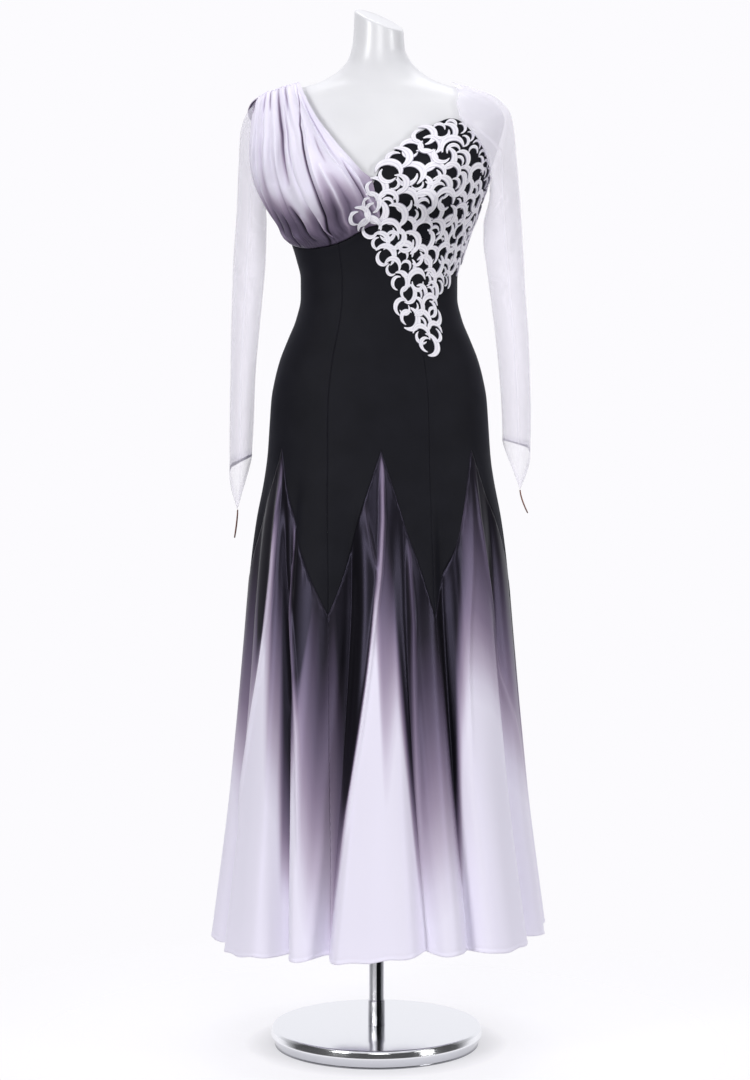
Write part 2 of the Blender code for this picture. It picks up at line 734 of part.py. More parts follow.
def drape_lift(u, v):
    """How far the satin stands off: sewn down at its foot, full over the bust, gathered above."""
    rise = min(v / DRAPE_RIDGE, 1.0)
    full = math.sin(math.pi * rise**0.6) ** 0.7 if v < DRAPE_RIDGE else 0.0
    seam = 0.25 + 0.75 * ease(u / 0.20)
    lift = lerp(EASE + 0.0014, EASE + CREPE + 0.0008, ease(v / 0.6)) + DRAPE_PUFF * full * seam
    lift += 0.0045 * ease(v / 0.5) * ease((1 - v) / 0.14)
    floor = lerp(EASE + 0.0008, EASE + CREPE + 0.0006, ease(v / 0.6))
    for share, width, depth, start, end in DRAPE_FOLDS.rows:
        if start < v < end:
            window = math.sin(math.pi * (v - start) / (end - start)) ** 0.6
            away = (u - share) / width
            lift -= min(depth, 0.8 * (lift - floor)) * window * math.exp(-away * away)
    return max(lift, floor)


def drape(finish, collection):
    """The satin drape: gathered on the shoulder, spread over the bust, gathered again under it."""

    def place(u, v, side):
        into = normal_of(drape_base, min(max(u, 0.01), 0.99), min(max(v, 0.01), 0.99), 0.008, 0.008)
        return drape_base(u, v) - (drape_lift(u, v) + side * SATIN) * into

    return cloth("right_drape", DRAPE_COLUMNS, DRAPE_ROWS, place, finish, collection)


# The applique: crescents laid flat, joined into one net, then moved out from the panels.


def crescent(middle_x, middle_y, radius, width, aim):
    """The outline of one crescent, thick at its middle and pointed at its ends."""
    outline = []
    for i in range(CRESCENT_POINTS + 1):
        turn = math.radians(aim + CRESCENT_SWEEP * (i / CRESCENT_POINTS - 0.5))
        outline.append((middle_x + radius * math.cos(turn), middle_y + radius * math.sin(turn)))
    steps = CRESCENT_POINTS - 2
    for i in range(1, steps):
        share = 1 - i / steps
        turn = math.radians(aim + CRESCENT_SWEEP * (share - 0.5))
        inner = radius - width * math.sin(math.pi * share) ** 0.6
        outline.append((middle_x + inner * math.cos(turn), middle_y + inner * math.sin(turn)))
    return outline


def crescents():
    """Rows of crescents over the applique's field, each row turned against the last."""
    made = []
    along, between = CRESCENT_STEP
    for row in range(19):
        height = LACE_FOOT + row * between
        for column in range(-4, 14):
            x = (column + 0.5 * (row % 2)) * along
            angle = math.degrees(x / LACE_GIRTH)
            if not LACE_FIELD.keys[0] < angle < LACE_FIELD.keys[-1]:
                continue
            low, high = LACE_FIELD.at("low", angle), LACE_FIELD.at("high", angle)
            if not low + 0.010 < height < high - 0.008:
                continue
            aim = CRESCENT_AIMS[(row + 2 * column) % 4] + 25.0 * math.sin(1.7 * row + 2.3 * column)
            size = 1 + 0.12 * math.sin(2.1 * row - 1.3 * column)
            made.append(crescent(x, height, CRESCENT_RADIUS * size, CRESCENT_WIDTH * size, aim))
    return made


def inside(x, y, outline):
    """Whether the place lies inside the closed outline."""
    found = False
    for (ax, ay), (bx, by) in zip(outline, outline[1:] + outline[:1]):
        if (ay > y) != (by > y) and x < ax + (y - ay) / (by - ay) * (bx - ax):
            found = not found
    return found


def joined(outlines):
    """The corners and triangles of the flat shape that the outlines cover together."""
    corners = [Vector(corner) for outline in outlines for corner in outline]
    faces, first = [], 0
    for outline in outlines:
        faces.append(list(range(first, first + len(outline))))
        first += len(outline)
    corners, _, triangles, _, _, covered = delaunay_2d_cdt(corners, [], faces, 0, 1e-6)
    triangles = [triangle for triangle, by in zip(triangles, covered) if by]
    uses = {}
    for triangle in triangles:
        for a, b in zip(triangle, triangle[1:] + triangle[:1]):
            uses[frozenset((a, b))] = uses.get(frozenset((a, b)), 0) + 1
    rim = [tuple(edge) for edge, count in uses.items() if count == 1]
    used = sorted({corner for edge in rim for corner in edge})
    index = {corner: i for i, corner in enumerate(used)}
    corners, _, triangles, *_ = delaunay_2d_cdt(
        [corners[i] for i in used], [(index[a], index[b]) for a, b in rim], [], 0, 1e-6
    )
    kept = []
    for triangle in triangles:
        middle = sum((corners[i] for i in triangle), Vector((0.0, 0.0))) / 3
        if any(inside(middle.x, middle.y, outline) for outline in outlines):
            kept.append(triangle)
    return corners, kept


def skin_of(pieces):
    """The outer faces of those pieces, to lay something on."""
    corners, faces = [], []
    for piece in pieces:
        first = len(corners)
        corners += [vert.co for vert in piece.data.vertices]
        faces += [[first + i for i in face.vertices] for face in piece.data.polygons]
    return BVHTree.FromPolygons(corners, faces)


def applique(skin, finish, collection):
    """The corded crescents, a wall that follows the pieces it is sewn on."""
    corners, triangles = joined(crescents())
    bm = bmesh.new()
    verts = [bm.verts.new((corner.x, corner.y, 0.0)) for corner in corners]
    for triangle in triangles:
        bm.faces.new([verts[i] for i in triangle])
    bmesh.ops.delete(bm, geom=[vert for vert in bm.verts if not vert.link_faces], context="VERTS")
    made = bmesh.ops.extrude_face_region(bm, geom=bm.faces[:])["geom"]
    outside = {vert for vert in made if isinstance(vert, bmesh.types.BMVert)}
    for vert in bm.verts:
        angle, height = math.degrees(vert.co.x / LACE_GIRTH), vert.co.y
        foot = figure(angle, height)
        out = normal_of(figure, angle, height, 0.3, 0.0008)
        distance = skin.ray_cast(foot + 0.03 * out, -out)[3]
        lift = max(0.03 - distance if distance else 0.0, EASE + CREPE)
        vert.co = foot + (lift + LACE_LIFT + (LACE if vert in outside else 0.0)) * out
    return finished("lace_applique", bm, finish, collection)


# The sleeves.


def sleeve_ring(name, u, v):
    """The sleeve's outer face: u turns round it from outside through the front, v runs to the cuff."""
    row = SLEEVES[name]
    side = SLEEVE_SIDE[name]
    turn = math.tau * u
    outer = Vector((row.at("outer_x", v), 0.0, row.at("outer_z", v)))
    inner = Vector((row.at("inner_x", v), 0.0, row.at("inner_z", v)))
    point = (outer + inner) / 2 + (outer - inner) / 2 * math.cos(turn)
    point.y = -row.at("front" if math.sin(turn) > 0 else "back", v) * math.sin(turn)
    away = abs(turned(360.0 * (u - POINT_COLUMN / SLEEVE_COLUMNS))) / POINT_SPREAD
    point.z -= SLEEVE_POINT[name] * max(1 - away, 0.0) ** 1.2 * ease((v - 0.86) / 0.14)
    point.x *= side
    if v < HEAD_REACH:
        hole = ARMHOLES[name]
        angle, height = hole.at("angle", u % 1.0), hole.at("height", u % 1.0)
        head = on_figure(side * angle, height, SLEEVE_EASE[name] + MESH)
        point = head.lerp(point, ease(v / HEAD_REACH))
    return clear_of_figure(point, SLEEVE_EASE[name] + MESH)


def clear_of_figure(point, gap):
    """The point, or one beside it that stays that far off the figure."""
    x = point.x - CENTRE_X
    depth = SECTIONS.at("front" if point.y < 0 else "back", point.z)
    angle = math.degrees(math.atan2(x / SECTIONS.at("half_width", point.z), -point.y / depth))
    out = normal_of(figure, angle, point.z, 0.3, 0.0008)
    short = gap - (point - figure(angle, point.z)).dot(out)
    return point + short * out if short > 0 else point


def sleeve(name, finish, collection):
    def surface(u, v):
        return sleeve_ring(name, u, v)

    def place(u, v, side):
        point = surface(u, v)
        out = normal_of(surface, u, min(max(v, 0.004), 0.996), 0.01, 0.004)
        if out.dot(point - surface(u + 0.5, v)) < 0:
            out = -out
        return point - (1 - side) * MESH * out

    return cloth(name, SLEEVE_COLUMNS, SLEEVE_ROWS, place, finish, collection, closed=True)


def finger_loop(name, sleeve_name, finish, collection):
    """A loop of round elastic, both ends sewn at the sleeve's point, hanging like a drop."""
    tip = sleeve_ring(sleeve_name, POINT_COLUMN / SLEEVE_COLUMNS, 1.0)
    length, swing = LOOP_LENGTH[sleeve_name], LOOP_SWING[sleeve_name]
    curve = bpy.data.curves.new(name, "CURVE")
    curve.dimensions = "3D"
    curve.bevel_depth = LOOP_RADIUS
    curve.bevel_resolution = 2
    curve.use_fill_caps = True
    spline = curve.splines.new("POLY")
    spline.points.add(LOOP_POINTS)
    for i, point in enumerate(spline.points):
        turn = math.pi * i / LOOP_POINTS
        drop = length * math.sin(turn) ** 2
        across = (LOOP_RADIUS + FIT / 2) * math.cos(turn)
        across += LOOP_HALF_WIDTH * math.sin(2 * turn) * math.sin(turn)
        lean = swing * (drop / length) ** 1.5
        point.co = (tip.x + lean, tip.y + across, tip.z - FIT - drop, 1.0)
    curve.materials.append(finish)
    made = bpy.data.objects.new(name, curve)
    collection.objects.link(made)
    return made


def main():
    for old in list(bpy.data.objects):
        bpy.data.objects.remove(old, do_unlink=True)
    collection = bpy.data.collections.new("ballroom_dress")
    bpy.context.scene.collection.children.link(collection)
    chrome = material("chrome", (0.80, 0.81, 0.83), 0.06, metallic=1.0)
    gloss = material("white_gloss", (0.90, 0.90, 0.91), 0.22)
    crepe = material("black_crepe", (0.012, 0.012, 0.015), 0.62)
    satin = material("ombre_satin", (0.62, 0.58, 0.68), 0.30)
    mesh = material("sheer_mesh", (0.86, 0.85, 0.92), 0.60)
    lace = material("white_lace", (0.84, 0.83, 0.90), 0.70)
    elastic = material("elastic", (0.30, 0.20, 0.20), 0.60)

    stand_base(chrome, collection)
    stand_pole(chrome, collection)
    dress_form(gloss, collection)
    for sector in SECTORS:
        crepe_panel(sector, crepe, collection)
        godet(sector, satin, collection)
    under_lace = [bpy.data.objects[name] for name in ("centre_front_panel", "left_front_panel")]
    under_lace += [cup(crepe, collection), drape(satin, collection)]
    applique(skin_of(under_lace), lace, collection)
    for side in ("left", "right"):
        sleeve(f"{side}_sleeve", mesh, collection)
        finger_loop(f"{side}_finger_loop", f"{side}_sleeve", elastic, collection)


main()
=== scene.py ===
# %% [markdown]
# # A ballroom dance dress on its form
# A standard-style ballroom dress is cut close from bust to hip and flares below it. Its black crepe
# body ends in long points, and satin godets dyed from black to a pale lavender open between them. One
# half of the bodice is draped satin, the other is crepe under corded lace, and the sleeves are sheer.
# The solids of every piece come packed, so this script dresses them: each cloth is a thin shell that
# follows the same tables as its solid, with finer folds and its own material.

import math

import bpy
import numpy as np
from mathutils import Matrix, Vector
from mathutils.bvhtree import BVHTree


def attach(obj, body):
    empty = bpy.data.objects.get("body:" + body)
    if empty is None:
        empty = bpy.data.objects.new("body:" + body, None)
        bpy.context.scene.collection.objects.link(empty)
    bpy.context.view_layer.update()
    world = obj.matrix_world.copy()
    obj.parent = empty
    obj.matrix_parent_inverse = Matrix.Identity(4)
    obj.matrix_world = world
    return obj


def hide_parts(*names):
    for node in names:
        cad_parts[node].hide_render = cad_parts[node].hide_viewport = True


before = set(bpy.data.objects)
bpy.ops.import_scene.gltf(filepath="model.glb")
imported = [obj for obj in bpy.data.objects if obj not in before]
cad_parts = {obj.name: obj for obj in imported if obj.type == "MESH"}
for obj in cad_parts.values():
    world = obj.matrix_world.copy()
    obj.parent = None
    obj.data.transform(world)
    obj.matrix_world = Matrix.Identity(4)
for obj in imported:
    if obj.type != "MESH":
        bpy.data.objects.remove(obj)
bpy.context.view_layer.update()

# %% [markdown]
# ## The camera
# A long lens from more than four metres away keeps the dress free of distortion. It stands a little
# below chest height and looks slightly down.

# %% Camera
EYE = (-0.0024, -4.40, 1.157)
LOOKS_DOWN = 4.38  # degrees
FOCAL_LENGTH, FILM_HEIGHT = 91.67, 36.0  # mm

lens = bpy.data.cameras.new("studio_camera")
lens.sensor_fit = "VERTICAL"
lens.sensor_height = FILM_HEIGHT
lens.lens = FOCAL_LENGTH
camera = bpy.data.objects.new("studio_camera", lens)
camera.location = EYE
camera.rotation_euler = (math.radians(90.0 - LOOKS_DOWN), 0.0, 0.0)
bpy.context.scene.collection.objects.link(camera)
bpy.context.scene.camera = camera
print("camera", round(lens.lens), "mm")

# %% [markdown]
# ## Small helpers
# Every cloth is a grid of points that one function places, so a helper turns such a grid into a mesh.
# It works on whole arrays of points at once, which keeps fine meshes quick to make.

# %% Steps and tables


def lerp(a, b, t):
    return a + (b - a) * t


def ease(t):
    """0 below 0 and 1 above 1, with a smooth step between."""
    t = np.clip(t, 0.0, 1.0)
    return t * t * (3 - 2 * t)


def bell(away, width):
    """A soft ridge: 1 on its line, a third at that width away, and soon nothing."""
    return np.exp(-((away / width) ** 2))


def turned(angle):
    """The same angle between -180 and 180 degrees."""
    return (angle + 180.0) % 360.0 - 180.0


class Table:
    """Rows of sizes, with a smooth curve through each column that never overshoots its rows."""

    def __init__(self, columns, *rows):
        self.columns = columns.split()[1:]
        rows = np.array(rows, float)
        self.keys, self.values = rows[:, 0], rows[:, 1:]
        rises = np.diff(self.values, axis=0) / np.diff(self.keys)[:, None]
        before, after = rises[:-1], rises[1:]
        total = np.where(before * after > 0, before + after, 1.0)
        inner = np.where(before * after > 0, 2 * before * after / total, 0.0)
        self.slopes = np.vstack([rises[:1], inner, rises[-1:]])

    def at(self, column, key):
        column = self.columns.index(column)
        key = np.clip(key, self.keys[0], self.keys[-1])
        i = np.clip(np.searchsorted(self.keys, key, side="right") - 1, 0, len(self.keys) - 2)
        step = self.keys[i + 1] - self.keys[i]
        t = (key - self.keys[i]) / step
        first, last = self.values[i, column], self.values[i + 1, column]
        start, end = self.slopes[i, column] * step, self.slopes[i + 1, column] * step
        rise = (2 * t**3 - 3 * t**2 + 1) * first + (t**3 - 2 * t**2 + t) * start
        return rise + (3 * t**2 - 2 * t**3) * last + (t**3 - t**2) * end


print("a table halfway:", Table("key size", (0, 0), (1, 1), (2, 4)).at("size", 0.5))

# %% Grids of cloth


def point(x, y, z):
    return np.stack(np.broadcast_arrays(x, y, z), axis=-1).astype(float)


def directions(surface, u, v, du, dv):
    """The direction out of surface(u, v), from its slopes along u and v."""
    along = surface(u + du, v) - surface(u - du, v)
    up = surface(u, v + dv) - surface(u, v - dv)
    out = np.cross(along, up)
    return out / np.linalg.norm(out, axis=-1, keepdims=True)


def shares(columns, rows):
    """Shares across and down a grid: u is the same down each column, v along each row."""
    u = np.linspace(0, 1, columns + 1) if np.isscalar(columns) else columns
    v = np.linspace(0, 1, rows + 1) if np.isscalar(rows) else rows
    return np.meshgrid(u, v)


def cloth_mesh(name, points, quads, threads=None, dye=None):
    """A smooth mesh that knows each point's place along the threads and its dyeing, cover and painted
    shade.
    """
    mesh = bpy.data.meshes.new(name)
    mesh.from_pydata(points, [], quads)
    if threads is not None:
        flat = np.array(threads)[[loop.vertex_index for loop in mesh.loops]].reshape(-1, 4, 2)
        # a quad across a tube's seam ends at the cloth's full width instead of at 0
        across, width = flat[..., 0], flat[..., 0].max()
        seam = np.ptp(across, axis=1) > width / 2
        across[seam] = np.where(across[seam] < 1e-9, width, across[seam])
        mesh.uv_layers.new(name="threads").data.foreach_set("uv", flat.astype(np.float32).ravel())
    if dye is not None:
        dye_and_shading = mesh.attributes.new("dye", "FLOAT", "POINT")
        dye_and_shading.data.foreach_set("value", np.asarray(dye, np.float32).ravel())
    mesh.shade_smooth()
    return mesh


def in_place(shape, finish, node):
    """An object of that mesh or curve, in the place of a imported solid."""
    shape.materials.append(finish)
    made = bpy.data.objects.new(shape.name, shape)
    bpy.context.scene.collection.objects.link(made)
    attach(made, "root")
    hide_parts(node)
    return made


def shell(name, points, finish, node, thickness=0.0008, wrap=False, threads=None, dye=None):
    """A thin cloth from a grid of points. It gets its thickness inwards, and may wrap to a tube."""
    corner = np.arange(points[..., 0].size).reshape(points.shape[:2])
    if wrap:
        corner = np.hstack([corner, corner[:, :1]])
    quads = np.stack([corner[:-1, :-1], corner[:-1, 1:], corner[1:, 1:], corner[1:, :-1]], axis=-1)
    if threads:
        threads = np.stack(np.broadcast_arrays(*threads), axis=-1).reshape(-1, 2)
    if dye is not None:
        dye = np.broadcast_to(dye, points.shape[:2])
    mesh = cloth_mesh(name, points.reshape(-1, 3).tolist(), quads.reshape(-1, 4).tolist(), threads, dye)
    made = in_place(mesh, finish, node)
    if thickness:
        wall = made.modifiers.new("wall", "SOLIDIFY")
        wall.thickness = thickness
        wall.offset = -1.0
    return made


print("a grid of", shares(3, 2)[0].shape)

# %% [markdown]
# ## The figure
# A form for close-cut dresses is smooth, with small, high curves. One table gives its half width and
# its depth to the front and to the back at each height, and the skirt's hang goes on below the hip.
# Sine and cosine of the angle round it turn a row into a ring, with 0 degrees at the front and the
# wearer's left at 90.

# %% Sizes of the figure
FIT = 0.0003  # between neighbouring pieces
EASE = 0.0010  # from the figure to the cloth on it
CREPE, SATIN, MESH = 0.0012, 0.0012, 0.0010  # thickness of each cloth's solid
CENTRE_X = 0.004  # the figure stands that far to the wearer's left of the pole
FORM_FOOT, FORM_NECK, NECK_ROOT = 0.837, 1.647, 1.582  # heights, as are those of the next line
HEM, GODET_TOP, GODET_SEAM, HIP = 0.192, 0.969, 0.713, 1.047
BUST_OUT, BUST_HEIGHT, BUST_REACH, BUST_WIDTH = 0.080, 1.369, 0.044, 0.052
BUST_ABOVE, BUST_BELOW = 0.062, 0.042
SECTIONS = Table(
    "height half_width front back square",
    (0.187, 0.269, 0.264, 0.268, 0.12), (0.267, 0.258, 0.25, 0.254, 0.11),
    (0.397, 0.241, 0.223, 0.229, 0.09), (0.527, 0.228, 0.198, 0.206, 0.07),
    (0.657, 0.216, 0.173, 0.184, 0.05), (0.787, 0.204, 0.149, 0.161, 0.04),
    (0.852, 0.195, 0.136, 0.149, 0.03), (0.917, 0.182, 0.123, 0.138, 0.04),
    (0.957, 0.176, 0.116, 0.131, 0.04), (1.007, 0.1725, 0.11, 0.128, 0.04),
    (1.047, 0.1695, 0.106, 0.123, 0.04), (1.077, 0.164, 0.102, 0.115, 0.04),
    (1.107, 0.156, 0.098, 0.105, 0.04), (1.14, 0.143, 0.093, 0.094, 0.04),
    (1.172, 0.13, 0.088, 0.084, 0.04), (1.207, 0.1225, 0.0845, 0.078, 0.04),
    (1.237, 0.1225, 0.085, 0.0785, 0.04), (1.267, 0.129, 0.087, 0.083, 0.04),
    (1.299, 0.139, 0.0905, 0.089, 0.05), (1.33, 0.151, 0.094, 0.0945, 0.05),
    (1.362, 0.163, 0.0965, 0.099, 0.05), (1.397, 0.176, 0.096, 0.102, 0.05),
    (1.432, 0.187, 0.092, 0.102, 0.03), (1.462, 0.196, 0.085, 0.098, 0), (1.487, 0.201, 0.077, 0.092, 0),
    (1.507, 0.193, 0.069, 0.086, 0), (1.52, 0.178, 0.062, 0.08, 0), (1.535, 0.136, 0.056, 0.074, 0),
    (1.547, 0.096, 0.05, 0.069, 0), (1.563, 0.068, 0.044, 0.064, 0), (1.582, 0.051, 0.04, 0.06, 0),
    (1.607, 0.043, 0.038, 0.058, 0), (1.667, 0.04, 0.037, 0.056, 0),
)  # fmt: skip
print("waist", round(2000 * SECTIONS.at("half_width", 1.207)), "mm wide")

# %% [markdown]
# ## The folds
# A godet is a wedge of cloth let into a seam, and its spare width hangs in soft folds that deepen
# towards the hem. Each valley is a row: where it starts and ends, how wide and how deep it is. Satin
# cut on the cross falls in folds with one steep wall and one gentle wall, so the two walls differ.

# %% Valleys of the skirt
FOLDS = [
    # angle, width in degrees and depth in metres: each at the panels' points and at the hem
    (-178, -180, 6, 6, 0.012, 0.036), (-156, -157, 6, 5, 0.014, 0.04), (-131, -130, 5, 5.5, 0.01, 0.032),
    (-108, -106, 5, 5, 0.012, 0.034), (-90, -87, 4.5, 5, 0.01, 0.03), (-71, -66.5, 5, 4.8, 0.009, 0.032),
    (-43, -32.5, 4.5, 4.4, 0.016, 0.038), (-13.5, -18, 7, 4.4, 0.024, 0.046),
    (11, 16.5, 3.8, 4, 0.01, 0.032), (30.5, 32.5, 4.4, 4.2, 0.018, 0.036), (63, 66, 5, 4.8, 0.01, 0.034),
    (88, 87, 4.5, 5, 0.01, 0.03), (110, 109, 5.5, 5, 0.013, 0.036), (135, 136, 5, 5, 0.01, 0.032),
    (158, 157, 6, 5, 0.015, 0.042),
]  # fmt: skip
FOLD_WALLS = (1.25, 0.72)  # each valley's gentle wall and its steep one, as shares of its width


def fold_depth(angle, height):
    """How far the skirt falls in at that angle and height."""
    fade = ease((GODET_TOP - height) / (GODET_TOP - GODET_SEAM))
    low = np.clip((GODET_SEAM - height) / (GODET_SEAM - HEM), 0.0, 1.0)
    depth = 0.0 * (angle + height)
    for upper, lower, width, low_width, deep, low_deep in FOLDS:
        away = turned(angle - lerp(upper, lower, low)) / lerp(width, low_width, low)
        away = away / np.where(away < 0, *FOLD_WALLS)
        depth = depth + fade * lerp(deep, low_deep, low) * bell(away, 1.0)
    return depth


print("deepest valley at the hem:", round(1000 * fold_depth(np.arange(-180.0, 180.0), HEM).max()), "mm")

# %% Points of the figure


def bust(x, height):
    """How far the bust stands forward at that place."""
    spread = np.where(height > BUST_HEIGHT, BUST_ABOVE, BUST_BELOW)
    sides = sum(bell(x - side * BUST_OUT, BUST_WIDTH) for side in (-1, 1))
    return BUST_REACH * bell(height - BUST_HEIGHT, spread) * sides


def figure(angle, height, wider=0.0, fullness=1.0):
    """The point of the figure, or of the inside of the hanging skirt, at that angle and height."""
    s, c = np.sin(np.radians(angle)), np.cos(np.radians(angle))
    square = SECTIONS.at("square", height)
    x = (SECTIONS.at("half_width", height) + wider) * s * (1 + square * c * c)
    depth = np.where(c > 0, SECTIONS.at("front", height), SECTIONS.at("back", height))
    y = -depth * c * (1 + square * s * s)
    y = y - np.where(c > 0, fullness * bust(x, height) * c * (2 - c), 0.0)
    keep = 1 - fold_depth(angle, height) / np.hypot(x, y)
    return point(CENTRE_X + x * keep, y * keep, height)


def out_of_figure(angle, height, surface=figure):
    """The direction out of the figure at that angle and height."""
    return directions(surface, angle, height, 0.3, 0.0008)


def on_figure(angle, height, lift):
    """The point at that distance out from the figure."""
    angle, height, lift = np.broadcast_arrays(angle, height, lift)
    return figure(angle, height) + lift[..., None] * out_of_figure(angle, height)


print("front of the bust:", np.round(figure(25.0, BUST_HEIGHT), 3))

# %% [markdown]
# ## Finishes
# Each finish starts from what the real one is made of. Colours are given as the hex values that a
# colour card would show, and one function turns them to the linear values that the shader needs.

# %% Colour and nodes


def linear(code):
    """An sRGB hex colour as linear red, green, blue and 1."""
    parts = [int(code[i : i + 2], 16) / 255 for i in (1, 3, 5)]
    parts = [p / 12.92 if p <= 0.04045 else ((p + 0.055) / 1.055) ** 2.4 for p in parts]
    return (*parts, 1.0)


def add(tree, kind, settings=None, links=None, into=None):
    """A new node with its settings, links to its inputs, and one from its first output into a socket.

    A setting named "stops" holds the (place, hex colour) pairs of a colour ramp.
    """
    node = tree.nodes.new("ShaderNode" + kind)
    for name, value in (settings or {}).items():
        if name == "stops":
            elements = node.color_ramp.elements
            elements.remove(elements[1])
            for i, (place, code) in enumerate(value):
                stop = elements[0] if i == 0 else elements.new(place)
                stop.position, stop.color = place, linear(code)
        elif isinstance(name, int) or name in node.inputs:
            node.inputs[name].default_value = value
        else:
            setattr(node, name, value)
    for name, socket in (links or {}).items():
        tree.links.new(socket, node.inputs[name])
    if into:
        tree.links.new(node.outputs[0], into)
    return node


def finish(name, base, roughness, metallic=0.0, **settings):
    """A named material, its node tree and the sockets of its Principled shader."""
    made = bpy.data.materials.new(name)
    made.use_nodes = True
    sockets = made.node_tree.nodes["Principled BSDF"].inputs
    sockets["Base Color"].default_value = linear(base)
    sockets["Roughness"].default_value = roughness
    sockets["Metallic"].default_value = metallic
    for socket, value in settings.items():
        sockets[socket.replace("_", " ")].default_value = value
    print(name)
    return made, made.node_tree, sockets


def bands(period):
    """The Wave node's scale for bands that far apart in metres."""
    return 2 * math.pi / (20 * period)


print("lavender", [round(c, 3) for c in linear("#e4e0f0")])

# %% [markdown]
# ### Gel-coated glass fibre
# Display forms are laid up in glass fibre and sprayed with a white gel coat. It is smooth and glossy
# with a slight orange-peel ripple of a few millimetres, which softens the edges of each highlight.

# %% Glass fibre
gelcoat, tree, sockets = finish(
    "gel_coated_glass_fibre", "#e0e0e4", 0.30, Coat_Weight=0.15, Coat_Roughness=0.2
)
place = add(tree, "TexCoord").outputs["Object"]
ripple = add(tree, "TexNoise", {"Scale": 1 / 0.009, "Detail": 1.0}, {"Vector": place}).outputs["Fac"]
add(tree, "Bump", {"Strength": 0.04, "Distance": 0.0006}, {"Height": ripple}, sockets["Normal"])
cloudy = add(tree, "TexNoise", {"Scale": 1 / 0.12, "Detail": 2.0}, {"Vector": place}).outputs["Fac"]
whites = [(0.3, "#dcdce0"), (0.7, "#e4e4e7")]
add(tree, "ValToRGB", {"stops": whites}, {"Fac": cloudy}, sockets["Base Color"])

# %% [markdown]
# ### Chromed steel
# Polished steel plated with chromium is almost a mirror, a little blue, with fine scuffs that widen
# its highlights here and there. The lower half of the base's rim mirrors its own shadow on the floor,
# which is drawn as a tone that follows the height.

# %% Chrome
chrome, tree, sockets = finish("chromed_steel", "#f3f4f6", 0.13, metallic=1.0)
place = add(tree, "TexCoord").outputs["Object"]
scuff = add(tree, "TexNoise", {"Scale": 1 / 0.018, "Detail": 5.0}, {"Vector": place}).outputs["Fac"]
add(tree, "MapRange", {"To Min": 0.10, "To Max": 0.16}, {"Value": scuff}, sockets["Roughness"])
up = add(tree, "SeparateXYZ", links={0: place}).outputs["Z"]
level = add(tree, "MapRange", {"From Max": 0.020}, {"Value": up}).outputs["Result"]
shade = [(0.0, "#77787d"), (0.12, "#a3a4a9"), (0.20, "#d3d4d9"), (0.70, "#e2e3e8"), (0.90, "#f3f4f6")]
add(tree, "ValToRGB", {"stops": shade}, {"Fac": level}, sockets["Base Color"])

# %% [markdown]
# A thin plated tube draws the whole room into narrow upright stripes, black where it mirrors the dark
# side of the room. They are drawn as tones that run round the tube.

# %% Plated tube
STRIPES = [
    # share of the turn, tone
    (0.03, "#f6f6f8"), (0.12, "#c2c3c7"), (0.165, "#dcdde0"), (0.185, "#f6f6f8"), (0.245, "#f6f6f8"),
    (0.256, "#17181a"), (0.345, "#17181a"), (0.362, "#8c8d92"), (0.43, "#c2c3c7"), (0.50, "#f6f6f8"),
    (0.57, "#dcdde0"), (0.585, "#232427"), (0.67, "#232427"), (0.69, "#b9babe"), (0.78, "#f6f6f8"),
    (0.86, "#c2c3c7"), (0.90, "#55565a"), (0.95, "#8c8d92"),
]  # fmt: skip
plated, tree, sockets = finish("chrome_plated_tube", "#f3f4f6", 0.42, metallic=1.0)
place = add(tree, "TexCoord").outputs["Object"]
around = add(tree, "TexGradient", {"gradient_type": "RADIAL"}, {"Vector": place}).outputs["Fac"]
add(tree, "ValToRGB", {"stops": STRIPES}, {"Fac": around}, sockets["Base Color"])

# %% [markdown]
# ### Stretch crepe
# Dance dresses are cut from polyester crepe with elastane. Its twisted yarns give a dry, pebbled
# surface about 0.4 mm across that swallows light, so black stays black with only a faint sheen at
# glancing angles. The pebble is drawn near 0.8 mm, as the real one is too fine to show.

# %% Crepe
crepe, tree, sockets = finish("stretch_crepe", "#0d0d15", 0.7, Specular_IOR_Level=0.17, Sheen_Weight=0.05)
sockets["Sheen Tint"].default_value = linear("#8489b0")
place = add(tree, "TexCoord").outputs["Object"]
pebble = add(tree, "TexNoise", {"Scale": 1 / 0.0008, "Detail": 2.0}, {"Vector": place}).outputs["Fac"]
add(tree, "Bump", {"Strength": 0.35, "Distance": 0.0002}, {"Height": pebble}, sockets["Normal"])
wash = add(tree, "TexNoise", {"Scale": 1 / 0.05, "Detail": 3.0}, {"Vector": place}).outputs["Fac"]
blacks = [(0.3, "#0b0b13"), (0.7, "#111119")]
add(tree, "ValToRGB", {"stops": blacks}, {"Fac": wash}, sockets["Base Color"])
